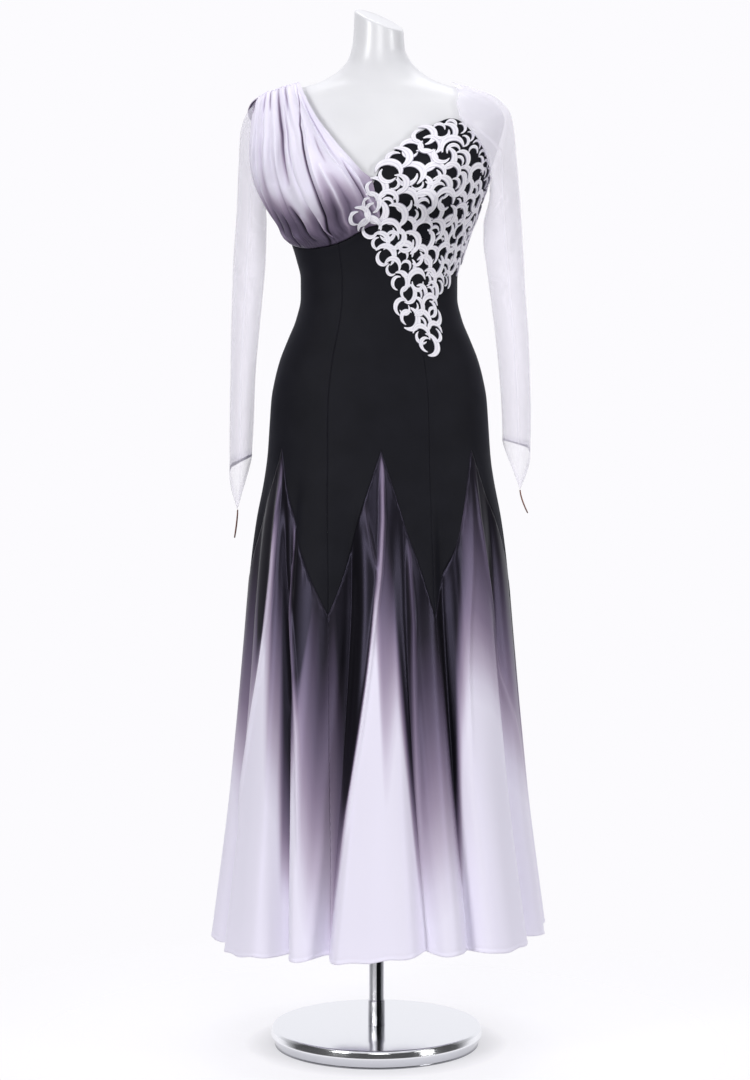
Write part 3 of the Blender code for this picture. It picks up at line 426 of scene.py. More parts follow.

# %% [markdown]
# ### Dip-dyed satin
# Satin floats its warp threads over several wefts, so the cloth is smooth and its highlights run
# along the folds. It is dip-dyed: black where it stayed longest in the vat, then smoky purple, mauve
# and a pale lavender. How much dye each place took is stored on the cloth, from 0 for black to 1 for
# pale, with painted highlights on crease crests and painted shade in valleys added to it. Threads are
# about 0.1 mm apart and are drawn as 2 mm streaks.

# %% Satin
DYE_AND_SHADE_STOPS = [
    (0.00, "#121115"), (0.12, "#242128"), (0.25, "#453d4e"), (0.38, "#655b70"), (0.50, "#82758c"),
    (0.62, "#9d90a6"), (0.75, "#bdb2c6"), (0.88, "#dbd5e6"), (1.00, "#e8e4f3"),
]  # fmt: skip
satin, tree, sockets = finish(
    "dip_dyed_satin", "#cfc9dc", 0.34, Specular_IOR_Level=0.20, Specular_Tint=linear("#dcd2ff")
)
threads, place = (add(tree, "TexCoord").outputs[key] for key in ("UV", "Object"))
run = add(tree, "Mapping", {"Scale": (1 / 0.002, 1 / 0.120, 1.0)}, {"Vector": threads}).outputs[0]
streak = add(tree, "TexNoise", {"Scale": 1.0, "Detail": 3.0}, {"Vector": run}).outputs["Fac"]
# the cloth's value: dye, with painted highlights on crests and painted shade in valleys
dye_and_shading = add(tree, "Attribute", {"attribute_name": "dye"}).outputs["Fac"]
uneven = add(tree, "Math", {"operation": "MULTIPLY_ADD", 1: 0.02, 2: -0.01}, {0: streak}).outputs[0]
tone_with_shading = add(tree, "Math", {"operation": "ADD"}, {0: dye_and_shading, 1: uneven}).outputs[0]
add(tree, "ValToRGB", {"stops": DYE_AND_SHADE_STOPS}, {"Fac": tone_with_shading}, sockets["Base Color"])
add(tree, "MapRange", {"To Min": 0.33, "To Max": 0.36}, {"Value": streak}, sockets["Roughness"])
weave = add(tree, "TexNoise", {"Scale": 1 / 0.0012, "Detail": 1.0}, {"Vector": place}).outputs["Fac"]
add(tree, "Bump", {"Strength": 0.03, "Distance": 0.0002}, {"Height": weave}, sockets["Normal"])

# %% [markdown]
# ### Stretch mesh
# The sleeves are power mesh, a knitted net with holes of about 0.7 mm that lets most of the light
# through. The holes are drawn at 1.4 mm, and a hem of two layers lets less through. A value on the cloth
# says how much more a place covers than the plain net does, and past the cuff's facing it paints the
# inside of the sleeve in shade, as a grey line.

# %% Mesh
net, tree, sockets = finish("stretch_mesh", "#f7f3ff", 0.6, Sheen_Weight=0.5, Sheen_Tint=linear("#f8f7ff"))
threads = add(tree, "TexCoord").outputs["UV"]
holes = {"Scale": 1 / 0.0014, "Randomness": 0.15, "feature": "DISTANCE_TO_EDGE", "voronoi_dimensions": "2D"}
cells = add(tree, "TexVoronoi", holes, {"Vector": threads}).outputs["Distance"]
yarn = {"From Min": 0.10, "From Max": 0.34, "To Min": 1.0, "To Max": 0.0}
yarn = add(tree, "MapRange", yarn, {"Value": cells}).outputs["Result"]
cover_and_shade = add(tree, "Attribute", {"attribute_name": "dye"}).outputs["Fac"]
# the darker tones are painted shade of the sleeve's inside past the facing
tones = [(0.0, "#f7f3ff"), (0.5, "#f7f3ff"), (0.75, "#8f8c9e"), (1.0, "#26242b")]
add(tree, "ValToRGB", {"stops": tones}, {"Fac": cover_and_shade}, sockets["Base Color"])
cover = add(tree, "Math", {"operation": "MULTIPLY_ADD", 1: 0.14, 2: 0.13}, {0: yarn}).outputs[0]
add(tree, "Math", {"operation": "ADD", "use_clamp": True}, {0: cover, 1: cover_and_shade}, sockets["Alpha"])
add(tree, "Bump", {"Strength": 0.25, "Distance": 0.0003}, {"Height": yarn}, sockets["Normal"])

# %% [markdown]
# ### Corded lace
# Guipure lace is stitched in thick satin stitch on a base that is washed away, then its edges are
# corded. The stitches run across each band about 0.5 mm apart, drawn at 0.9 mm. Painted shade darkens
# each band towards its edges.

# %% Lace
lace, tree, sockets = finish("corded_guipure", "#f4f2fa", 0.6, Sheen_Weight=0.3)
sockets["Sheen Tint"].default_value = linear("#ffffff")
threads = add(tree, "TexCoord").outputs["UV"]
stitches = {"Scale": bands(0.0009), "Distortion": 0.6, "Detail": 1.0, "Detail Scale": 2.0}
stitch = add(tree, "TexWave", stitches, {"Vector": threads}).outputs["Fac"]
# painted shade across each band, darker at its edges and a little in its middle
painted_band_shade = add(tree, "Attribute", {"attribute_name": "dye"}).outputs["Fac"]
lit = add(tree, "Math", {"operation": "MULTIPLY_ADD", 1: 0.12, 2: -0.06}, {0: stitch}).outputs[0]
lit = add(tree, "Math", {"operation": "ADD"}, {0: painted_band_shade, 1: lit}).outputs[0]
tones = [(0.1, "#8f8b9f"), (0.5, "#d3cfdf"), (0.8, "#f0edf6"), (1.0, "#f7f5fc")]
add(tree, "ValToRGB", {"stops": tones}, {"Fac": lit}, sockets["Base Color"])
add(tree, "Bump", {"Strength": 0.4, "Distance": 0.0004}, {"Height": stitch}, sockets["Normal"])

# %% [markdown]
# ### Covered elastic
# The finger loops are fine elastic wound with a brown-pink yarn, about 0.4 mm from turn to turn.

# %% Elastic
elastic, tree, sockets = finish("covered_elastic", "#7d5348", 0.6, Sheen_Weight=0.2)
place = add(tree, "TexCoord").outputs["Object"]
turns = {"Scale": bands(0.0005), "bands_direction": "Z", "Distortion": 0.4}
wound = add(tree, "TexWave", turns, {"Vector": place}).outputs["Fac"]
browns = [(0.0, "#5a3a35"), (1.0, "#a9786a")]
add(tree, "ValToRGB", {"stops": browns}, {"Fac": wound}, sockets["Base Color"])
add(tree, "Bump", {"Strength": 0.6, "Distance": 0.0003}, {"Height": wound}, sockets["Normal"])

# %% [markdown]
# ## The finger loops
# A pointed cuff is held down over the hand by a loop of elastic round the middle finger. Each loop
# leaves the cuff's point, hangs like a drop and is sewn back into the same point. A loop is a cord of
# its own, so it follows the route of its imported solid.

# %% Finger loops
LOOPS = {
    # where the loop leaves the cuff, how far it hangs, how far it swings
    "left_finger_loop": ((0.2287, -0.02535, 0.90205), 0.036, 0.012),
    "right_finger_loop": ((-0.22139, -0.02535, 0.87039), 0.044, -0.005),
}
LOOP_RADIUS = 0.0010
LOOP_ROOT, LOOP_WIDTH = 0.00115, 0.0095  # half the gap between its ends, and how far it opens
for name, (tip, drop, swing) in LOOPS.items():
    turn = np.pi * np.arange(21) / 20
    hang = drop * np.sin(turn) ** 2
    across = LOOP_ROOT * np.cos(turn) + LOOP_WIDTH * np.sin(2 * turn) * np.sin(turn)
    route = point(tip[0] + swing * (hang / drop) ** 1.5, tip[1] + across, tip[2] - FIT - hang)
    curve = bpy.data.curves.new(name.replace("finger_loop", "elastic_loop"), "CURVE")
    curve.dimensions = "3D"
    curve.bevel_depth = LOOP_RADIUS
    curve.bevel_resolution = 3
    curve.use_fill_caps = True
    spline = curve.splines.new("POLY")
    spline.points.add(len(route) - 1)
    for spot, place in zip(spline.points, route):
        spot.co = (*place, 1.0)
    loop = in_place(curve, elastic, name)

# %% [markdown]
# ## The dress form
# The form is one smooth shell, laid up to the same figure as the dress but 2 mm smaller and a little
# flatter at the bust. Its neck is cut on a slant and closed, and it is drawn in and closed below the
# hips, where it drops over the pole.

# %% Dress form
FORM_SMALLER, FORM_BUST = 0.0020, 0.90  # metres inside the figure, and its bust beside the figure's
FORM_DRAWN_IN = 0.12  # share of its width that it loses towards its foot
NECK_SLANT = (-0.41, 0.26)  # how the cut neck rises towards the wearer's left and the back


def form_ring(turn, height, keep=1.0):
    level = np.maximum(height, GODET_TOP)
    ring = lambda a, h: figure(a, h, fullness=FORM_BUST)
    place = ring(turn, level) - FORM_SMALLER * out_of_figure(turn, level, ring)
    keep = keep * (1 - FORM_DRAWN_IN * ease((GODET_TOP - height) / (GODET_TOP - FORM_FOOT)))
    x, y = place[..., 0] * keep, place[..., 1] * keep
    lean = np.maximum(height - NECK_ROOT, 0.0) / (FORM_NECK - NECK_ROOT)
    return point(x, y, height + lean * (NECK_SLANT[0] * x + NECK_SLANT[1] * y))


turn = np.linspace(0, 360, 145)[:-1]
levels = [(FORM_FOOT, 0.001), (FORM_FOOT, 0.90), (FORM_FOOT + 0.0006, 0.97), (FORM_FOOT + 0.0022, 0.993)]
levels += [(height, 1.0) for height in np.linspace(FORM_FOOT + 0.005, FORM_NECK - 0.005, 190)]
levels += [(FORM_NECK - 0.0022, 0.993), (FORM_NECK - 0.0006, 0.96), (FORM_NECK, 0.90), (FORM_NECK, 0.001)]
rings = np.stack([form_ring(turn, np.full(turn.shape, h), k) for h, k in levels])
form = shell("glass_fibre_form", rings, gelcoat, "dress_form", thickness=0, wrap=True)
print("form:", len(form.data.polygons), "faces")

# %% [markdown]
# ## The stand
# A steel disc is pressed with a hollow rim and plated, and a plated tube stands in a low collar at its
# middle. Both are turned shapes, so a profile spun round the axis makes each of them.

# %% Base and pole


def turned_piece(name, profile, finish, node):
    """A profile of (radius, height) turned round the pole's axis."""
    turn = np.radians(np.linspace(0, 360, 161)[:-1])
    radius, height = np.array(profile).T
    rings = point(radius[:, None] * np.cos(turn), radius[:, None] * np.sin(turn), height[:, None])
    made = shell(name, rings, finish, node, thickness=0, wrap=True)
    made.data.set_sharp_from_angle(angle=math.radians(40))
    return made


BASE_PROFILE = [
    (0.0002, 0.0300), (0.1664, 0.0300), (0.1672, 0.0299), (0.1679, 0.0296), (0.1684, 0.0291),
    (0.1688, 0.0285), (0.1698, 0.0269), (0.1702, 0.0262), (0.1703, 0.0259), (0.1704, 0.0254),
    (0.1707, 0.0239), (0.1712, 0.0215), (0.1717, 0.0190), (0.1719, 0.0178), (0.1717, 0.0167),
    (0.1710, 0.0152), (0.1690, 0.0118), (0.1660, 0.0062), (0.1650, 0.0045), (0.1648, 0.0038),
    (0.1651, 0.0025), (0.1655, 0.0008), (0.1654, 0.0003), (0.1650, 0.0), (0.0002, 0.0),
]  # fmt: skip
base = turned_piece("pressed_base", BASE_PROFILE[::-1], chrome, "stand_base")
POLE_PROFILE = [
    (0.0002, 0.0303), (0.0136, 0.0303), (0.0138, 0.0308), (0.0138, 0.0685), (0.0136, 0.0690),
    (0.0126, 0.0712), (0.0121, 0.0716), (0.0120, 0.0725), (0.0120, 0.8367), (0.0002, 0.8367),
]  # fmt: skip
pole = turned_piece("plated_pole", POLE_PROFILE, plated, "stand_pole")
print("base", len(base.data.polygons), "faces, pole", len(pole.data.polygons))

# %% [markdown]
# ## Seams and sectors
# Six long seams run from the bodice to the hem. Between two of them lies a sector: a crepe panel that
# ends in two points, and below it the godet, whose own point rises between them. A share across the
# sector is counted in two halves, so that the godet's point stays on one line of the cloth.

# %% Sectors
SEAMS = {
    # angle at the hip, at the panels' points and at the hem
    "right_front": (-27.0, -22.5, -18.0),
    "left_front": (26.0, 23.5, 31.5),
    "left_side": (90.0, 90.0, 91.0),
    "left_back": (152.0, 151.0, 149.0),
    "right_back": (208.0, 209.0, 212.0),
    "right_side": (270.0, 270.0, 272.0),
}


def seam_angle(name, height):
    hip, meet, low = SEAMS[name]
    above = lerp(meet, hip, ease((height - GODET_SEAM) / (HIP - GODET_SEAM)))
    below = lerp(meet, low, (GODET_SEAM - height) / (GODET_SEAM - HEM))
    return np.where(height > GODET_SEAM, above, below)


class Sector:
    """A sector of the skirt between two seams, with the angle of its godet's point."""

    def __init__(self, first, last, peak, middle):
        self.first, self.last, self.peak, self.middle = first, last, peak, middle

    def side(self, u):
        """0 at both seams and 1 at the godet's point."""
        return np.where(u < self.middle, u / self.middle, (1 - u) / (1 - self.middle))

    def angle(self, u, height, gap=0.00002):
        start, end = seam_angle(self.first, height), seam_angle(self.last, height)
        end = end + np.where(end < start, 360.0, 0.0)
        low, high = self.seams_at_point()
        peak = (self.peak - low) / (high - low)
        share = np.where(u < self.middle, peak * self.side(u), 1 - (1 - peak) * self.side(u))
        gap = np.degrees(gap / SECTIONS.at("front", height))
        return lerp(start + gap, end - gap, share)

    def seams_at_point(self):
        start, end = (float(seam_angle(name, GODET_TOP)) for name in (self.first, self.last))
        return (start, end) if start < end else (start, end + 360.0)

    def edge(self, u):
        """Height of the godet's pointed upper edge."""
        return lerp(GODET_SEAM, GODET_TOP, self.side(u))


SECTORS = {
    "centre_front": Sector("right_front", "left_front", 1.0, 4 / 8),
    "left_front": Sector("left_front", "left_side", 54.0, 4 / 9),
    "left_back": Sector("left_side", "left_back", 121.0, 5 / 9),
    "centre_back": Sector("left_back", "right_back", 180.0, 4 / 8),
    "right_back": Sector("right_back", "right_side", 239.0, 4 / 9),
    "right_front": Sector("right_side", "right_front", 301.0, 4 / 9),
}
GODET_NODES = {name: f"{name}_godet" for name in SECTORS}
GODET_NODES.update(centre_front="front_godet", centre_back="back_godet")
print(len(SECTORS), "sectors")

# %% Edges
UNDER_BUST = Table(
    "angle height",
    (-90, 1.295), (-75, 1.29), (-52, 1.284), (-33, 1.288), (-18, 1.3), (-8, 1.315), (0, 1.32),
    (15, 1.31), (35, 1.294), (60, 1.287), (90, 1.295),
)  # fmt: skip
BACK_EDGE = Table(
    "angle height",
    (90, 1.377), (100, 1.395), (115, 1.427), (130, 1.457), (142, 1.473), (150, 1.455), (163, 1.407),
    (180, 1.379),
)  # fmt: skip


def crepe_edge(angle):
    """Height of the crepe panels' upper edge at that angle."""
    angle = turned(angle)
    front = UNDER_BUST.at("height", angle)
    return np.where(np.abs(angle) <= 90.0, front, BACK_EDGE.at("height", np.abs(angle)))


def hem_height(angle):
    """The hem dips a little on each fold and lifts a little in each valley."""
    uneven = 20 * np.sin(np.radians(5 * angle))
    swing = 0.006 * np.sin(np.radians(angle)) + 0.003 * np.sin(np.radians(3 * angle + 40))
    swing = swing + 0.002 * np.sin(np.radians(7 * angle)) + 0.0012 * np.sin(np.radians(31 * angle + uneven))
    return HEM + swing + 0.10 * fold_depth(angle, HEM)


def from_edge(share, width):
    """Distance in metres to the nearer side edge of a piece that wide."""
    return np.minimum(share, 1 - share) * width


print("hem from", round(1000 * hem_height(np.arange(360.0)).min()), "mm up")

# %% [markdown]
# ## The crepe body
# Crepe with elastane is cut a little smaller than the figure and stretched over it, so it lies smooth
# and shows every seam. The allowances inside a seam raise a soft welt beside it, 0.2 mm high, and the
# thread pulls the line itself in by 0.3 mm.

# %% Crepe panels
SEAM_DIP, WELT = 0.0003, 0.0002


def seam_relief(distance):
    """The dip of a seam's line and the soft welt of its allowance, 6 mm from it."""
    return WELT * bell(distance - 0.006, 0.003) - SEAM_DIP * bell(distance, 0.0012)


def toward_edges(count, pull=0.5):
    """Shares from 0 to 1 that crowd towards both ends."""
    t = np.linspace(0, 1, count + 1)
    return lerp(t, ease(t), pull)


PANEL_WIDTH = 0.16  # metres, at the hip
LEVEL, BELOW_LEVEL = 1.007, 0.3  # above this height the rows run level, and that share of them is below
for name, sector in SECTORS.items():
    u, v = shares(toward_edges(44), toward_edges(76))
    low = sector.edge(u) - 0.0004
    top = crepe_edge(sector.angle(u, HIP)) - FIT / 2
    above = lerp(LEVEL, top, (v - BELOW_LEVEL) / (1 - BELOW_LEVEL))
    height = np.where(v < BELOW_LEVEL, lerp(low, LEVEL, v / BELOW_LEVEL), above)
    relief = seam_relief(from_edge(u, PANEL_WIDTH)) + seam_relief(0.6 * (height - low))
    relief = relief + seam_relief(top - height)
    points = on_figure(sector.angle(u, height), height, EASE + CREPE + relief)
    threads = u * PANEL_WIDTH, height
    panel = shell(f"crepe_{name}", points, crepe, f"{name}_panel", threads=threads)

# %% [markdown]
# ## The dye, with painted shade in the valleys
# The skirt was dipped from the waist down to the knee and drawn out slowly, so the black fades through
# smoky purple to the undyed lavender. In the valleys the black reaches further down, and at some creases
# it stops sharply: this is painted shade of the folds, laid over the dye. For each place round the hem,
# a row gives the heights at which the cloth stops being black, is half way to pale, and is pale.

# %% Dye of the skirt, with painted shade in the valleys
DYE_AND_VALLEY_SHADE = Table(
    "place black half pale",
    (-180, 0.56, 0.45, 0.3), (-168, 0.92, 0.7, 0.5), (-157, 0.52, 0.4, 0.28), (-143, 0.8, 0.58, 0.36),
    (-130, 0.56, 0.44, 0.3), (-118, 0.94, 0.72, 0.52), (-106, 0.55, 0.42, 0.28), (-96, 0.82, 0.6, 0.4),
    (-86, 0.62, 0.5, 0.36), (-77, 0.82, 0.57, 0.42), (-70, 0.86, 0.56, 0.38), (-64, 0.72, 0.56, 0.42),
    (-58, 0.8, 0.63, 0.45), (-54, 0.69, 0.62, 0.56), (-51, 0.68, 0.65, 0.61), (-48, 0.75, 0.72, 0.67),
    (-45, 0.9, 0.8, 0.52), (-42, 0.84, 0.63, 0.42), (-38.5, 0.82, 0.6, 0.39), (-36, 0.56, 0.38, 0.27),
    (-32, 0.48, 0.36, 0.26), (-29, 0.78, 0.58, 0.42), (-26, 0.78, 0.51, 0.26), (-23.5, 0.7, 0.44, 0.21),
    (-20.5, 0.78, 0.46, 0.2), (-18, 0.58, 0.33, 0.16), (-14, 0.44, 0.37, 0.29), (-12, 0.44, 0.41, 0.38),
    (-9, 0.53, 0.51, 0.485), (-3, 0.7, 0.68, 0.655), (-1, 0.77, 0.74, 0.64), (3, 0.9, 0.67, 0.42),
    (9, 0.8, 0.68, 0.53), (12, 0.68, 0.54, 0.43), (15, 0.52, 0.39, 0.25), (18, 0.7, 0.44, 0.24),
    (24, 0.75, 0.49, 0.26), (28, 0.7, 0.47, 0.27), (33, 0.44, 0.36, 0.27), (36, 0.69, 0.61, 0.5),
    (40, 0.83, 0.71, 0.58), (45, 0.98, 0.72, 0.57), (51, 0.95, 0.7, 0.56), (57, 0.91, 0.68, 0.52),
    (62, 0.74, 0.64, 0.5), (70, 0.86, 0.61, 0.42), (78, 0.78, 0.55, 0.38), (87, 0.6, 0.48, 0.34),
    (98, 0.84, 0.64, 0.42), (109, 0.54, 0.42, 0.28), (123, 0.94, 0.72, 0.52), (136, 0.56, 0.44, 0.3),
    (147, 0.82, 0.58, 0.36), (157, 0.52, 0.4, 0.28), (168, 0.92, 0.7, 0.5), (180, 0.56, 0.45, 0.3),
)  # fmt: skip
# where each valley's foot is, and how far its top is turned from it
FOLD_SHIFTS = [turned(row[1]) for row in FOLDS], [turned(row[0] - row[1]) for row in FOLDS]


def hem_place(angle, height):
    """Where the cloth at that place comes out at the hem: it follows the folds."""
    low = np.clip((GODET_SEAM - height) / (GODET_SEAM - HEM), 0.0, 1.0)
    angle, low = np.broadcast_arrays(turned(angle), low)
    place = angle
    for _ in range(4):
        place = angle - (1 - low) * np.interp(place, *FOLD_SHIFTS)
    return turned(place)


def dye_and_valley_shade(angle, height):
    """0 where the satin is black, a half where half its dark is left, 1 where pale; it holds painted valley
    shade.
    """
    black, half, pale = (DYE_AND_VALLEY_SHADE.at(key, hem_place(angle, height)) for key in DYE_AND_VALLEY_SHADE.columns)
    above = np.clip((black - height) / np.maximum(black - half, 0.01), 0.0, 1.0)
    below = np.clip((half - height) / np.maximum(half - pale, 0.01), 0.0, 1.0)
    return 0.5 * (above + below)


print("dye half way up at the front:", round(float(dye_and_valley_shade(0.0, 0.6)), 2))

# %% [markdown]
# ## The godets
# Each godet is a flared wedge of satin. Besides its large folds, it breaks into sharper creases that
# start at its point, where all its fullness is gathered, and the seam puckers it slightly. Its hem is
# a narrow roll.

# %% Creases of the godets
CREASE_HEIGHTS = np.array([0.33, 0.42, 0.52, 0.62, 0.70, 0.78, 0.86, 0.95])
CREASE_WALLS = (1.3, 0.8)  # each crease's gentle wall and its steep one, as shares of its width
CREASES = [
    # angle at each of those heights, height at its foot and top, width and rise in mm, painted highlight
    # (shade below 0)
    ((-66, -63, -60, -56, -53.6, -53, -54.5, -56.8), 0.3, 1, 3.2, 5, 0.4),
    ((-28, -29.6, -31.7, -35, -38.4, -41.6, -43.8, -48), 0.3, 1, 2.6, 4.5, 0.4),
    ((-30, -34, -38, -41.5, -44.5, -47, -48.8, -52), 0.55, 1, 4, -3.5, -0.2),
    ((-13.1, -10.3, -7, -3.9, -1.8, 0.5, 1.7, 1.6), 0.3, 1, 2.4, 4.5, 0.52),
    ((-12, -10, -8, -6, -2, -0.5, -5.5, -9), 0.76, 0.91, 2.6, 2, 0.14),
    ((16.5, 15.5, 14.9, 14.6, 14.6, 14, 13.6, 13), 0.3, 0.87, 2.4, 3, 0.26),
    ((-34, -34, -34, -34, -34, -34, -33, -33), 0.76, 0.84, 2.4, 1.5, 0.26),
    ((36, 36, 36.5, 37.5, 40, 44, 48, 52.5), 0.3, 1, 4.5, 1.4, 0),
    ((80, 76, 71, 64.5, 59.4, 54.8, 53.4, 56), 0.45, 0.97, 3, 2, 0.12),
    ((127, 126, 125, 124, 123.5, 123, 122, 121), 0.3, 1, 4, 3, 0.34),
    ((168, 170, 171, 173, 175, 177, 179, 180), 0.3, 1, 4, 3.2, 0.34),
    ((244, 243, 242, 241.5, 241, 240, 239.5, 239), 0.3, 1, 4, 3, 0.34),
]


def creases(angle, height, from_top):
    """How far the sharp creases stand out, and their painted highlight, which is painted shade where below
    0.
    """
    reach = SECTIONS.at("front", height)
    rise, painted_shading = 0.0 * angle, 0.0 * angle
    for angles, foot, top, width, tall, painted_tone in CREASES:
        away = turned(angle - np.interp(height, CREASE_HEIGHTS, angles))
        away = np.radians(away) * reach / (width / 1000)
        window = ease((height - foot) / (0.16 if foot < 0.4 else 0.03)) * ease((top - height) / 0.03)
        fold = window * np.exp(-np.abs(away / np.where(away < 0, *CREASE_WALLS)) ** 1.8)
        rise = rise + tall / 1000 * fold * ease(from_top / 0.04)
        painted_shading = painted_shading + painted_tone * fold * ease(from_top / 0.01)
    return rise, painted_shading


print(len(CREASES), "creases")

# %% Godets
GODET_WIDTH, GODET_LENGTH, TUCK = 0.30, 0.77, 0.004  # metres
HEM_ROWS = [0.989, 0.992, 0.995, 0.998, 1.0]  # shares of the way down, close together on the rolled hem
for name, sector in SECTORS.items():
    columns, rows = (200, 100) if "front" in name else (120, 76)
    down = [np.linspace(0, 0.02, 5)[:-1], np.linspace(0.02, 0.985, rows), HEM_ROWS]
    u, v = shares(toward_edges(columns, 0.3), np.concatenate(down))
    top = sector.edge(u) - 0.00055
    hem = hem_height(sector.angle(u, np.full(u.shape, HEM)))
    height = lerp(top, hem, v)
    angle = sector.angle(u, height)
    from_top, from_hem, from_side = 0.5 * (top - height), height - hem, from_edge(u, GODET_WIDTH)
    side_pucker = 0.0003 * np.sin(height / 0.0021 + 9 * u) * np.exp(-from_side / 0.008)
    top_pucker = 0.0002 * np.sin(u * 150) * np.exp(-from_top / 0.005)
    relief = 0.5 * seam_relief(from_top) + 0.2 * seam_relief(from_side) + side_pucker + top_pucker
    roll = 0.0007 * bell(from_hem - 0.002, 0.0018) - 0.0004 * bell(from_hem - 0.006, 0.0010)
    soft = 0.0010 * np.sin(np.radians(hem_place(angle, height)) * 23 + 2.0) * ease((0.6 - height) / 0.3)
    rise, painted_shading = creases(angle, height, from_top)
    lift = EASE + SATIN + relief + roll + soft + rise - 0.0007 * bell(from_top, 0.0015)
    # the dye with the valleys' painted shade, then the creases' painted highlights and painted shade
    left = dye_and_valley_shade(angle, height)
    dye = np.minimum(left + painted_shading * (1 - left), 1.0)
    # the seam allowance is tucked up behind the crepe
    height[0], lift[0] = height[0] + TUCK, EASE
    points = on_figure(angle, height, lift)
    threads = u * GODET_WIDTH, v * GODET_LENGTH
    piece = shell(f"satin_{name}", points, satin, GODET_NODES[name], threads=threads, dye=dye)

# %% [markdown]
# ## The bodice
# The wearer's left cup is crepe under lace, cut in one from the middle seam to the side. Its foot
# follows the seam under the bust, and its upper edge is faced, so it shows a narrow turned edge.

# %% Cup
CUP_EDGE = Table(
    "angle height",
    (-3, 1.383), (2.5, 1.417), (11.5, 1.445), (23, 1.47), (34, 1.485), (50, 1.459), (65, 1.424),
    (80, 1.394), (90, 1.377),
)  # fmt: skip
FRONT_STEPS = {"right_front": 9, "centre_front": 8, "left_front": 9}
FRONT_ANGLES = [SECTORS[name].angle(np.arange(n + 1) / n, HIP) for name, n in FRONT_STEPS.items()]
FRONT_ANGLES = turned(np.concatenate(FRONT_ANGLES))
CUP_FOOT = FRONT_ANGLES[13:]
DRAPE_FOOT = FRONT_ANGLES[:15][::-1].copy()
DRAPE_FOOT[-1] += 1.6  # it wraps a little round the side seam


def along(angles, share):
    """The angle at that share of the way through evenly spaced angles."""
    return np.interp(share, np.linspace(0, 1, len(angles)), angles)


CUP_WIDTH = 0.20  # metres
u, v = shares(90, toward_edges(70))
foot = along(CUP_FOOT, u)
angle = foot + v * (1 - u) ** 2 * (CUP_EDGE.keys[0] - CUP_FOOT[0])
low, top = UNDER_BUST.at("height", foot) + FIT / 2, CUP_EDGE.at("height", angle)
height = lerp(low, top, v)
turned_edge = 0.0005 * bell(top - height - 0.0015, 0.0012) + 0.6 * seam_relief(height - low)
points = on_figure(angle, height, EASE + CREPE + turned_edge)
cup = shell("crepe_cup", points, crepe, "left_cup", threads=(u * CUP_WIDTH, height))

# %% [markdown]
# ## The drape
# The other half of the bodice is a square of satin gathered twice: in a handful on the shoulder, and
# again along the seam under the bust. Between the gathers it is loose, so the cloth breaks into long
# folds that run from one handful to the other, with small sharp pleats where each gather bites.

# %% Lay of the drape
DRAPE_CORNER, DRAPE_RIDGE = 4 / 28, 0.70  # shares across and up: the seam's corner, the shoulder's top
DRAPE_WIDEST = 1.437
DRAPE_OVER, DRAPE_BOW = (0.124, 0.190), (0.013, 0.026)  # metres out on the shoulder, and bowed out below it
BACK_ANGLES, BACK_HEIGHTS = (-143.0, -126.0), (1.4745, 1.4515)  # its ends: neck side first, as above
SIDE_LIMIT, SIDE_SOFT = -0.93, 0.06  # shares of the half width: the drape turns the side softly there
DRAPE_FULL, DRAPE_BUNCHED = 0.0050, 0.0045  # metres: fullness over the bust, layers in the handful
DRAPE_ACROSS, THREADS_ACROSS, THREADS_UP = 0.26, 0.30, 0.36  # metres across it as worn, and of threads
DRAPE_FOLDS = [
    # share across, width, depth in metres, shares of the way up at its start and end
    (0.09, 0.03, 0.004, 0.02, 0.62), (0.2, 0.032, 0.005, 0, 0.6), (0.33, 0.028, 0.0055, 0.02, 0.95),
    (0.44, 0.026, 0.005, -0.05, 0.32), (0.55, 0.036, 0.0075, 0.22, 0.95),
    (0.66, 0.03, 0.005, -0.05, 0.55), (0.77, 0.028, 0.005, 0.3, 0.9), (0.88, 0.03, 0.0045, 0.05, 0.7),
]  # fmt: skip


def drape_wider(height):
    """How much wider than the figure the drape hangs at that height, in front of the sleeve."""
    return 0.034 * bell(height - DRAPE_WIDEST, np.where(height > DRAPE_WIDEST, 0.050, 0.085))


def shoulder_height(out):
    """Height at which the shoulder, widened for the drape, is that far out from the middle."""
    heights = np.linspace(1.462, 1.567, 400)
    reach = SECTIONS.at("half_width", heights) + drape_wider(heights)
    return np.interp(-out, -reach, heights)


def drape_foot(u):
    """Angle and height of the sewn edge: down the middle seam, then round under the bust."""
    corner = DRAPE_FOOT[0] - 0.25, UNDER_BUST.at("height", DRAPE_FOOT[0]) + FIT
    t = u / DRAPE_CORNER
    down = lerp(-3.5, corner[0], t), lerp(1.383, corner[1], t)
    share = np.clip((u - DRAPE_CORNER) / (1 - DRAPE_CORNER), 0.0, 1.0)
    angle = along(DRAPE_FOOT, share)
    under = angle, along(UNDER_BUST.at("height", DRAPE_FOOT), share) + FIT
    return (np.where(u < DRAPE_CORNER, a, b) for a, b in zip(down, under))


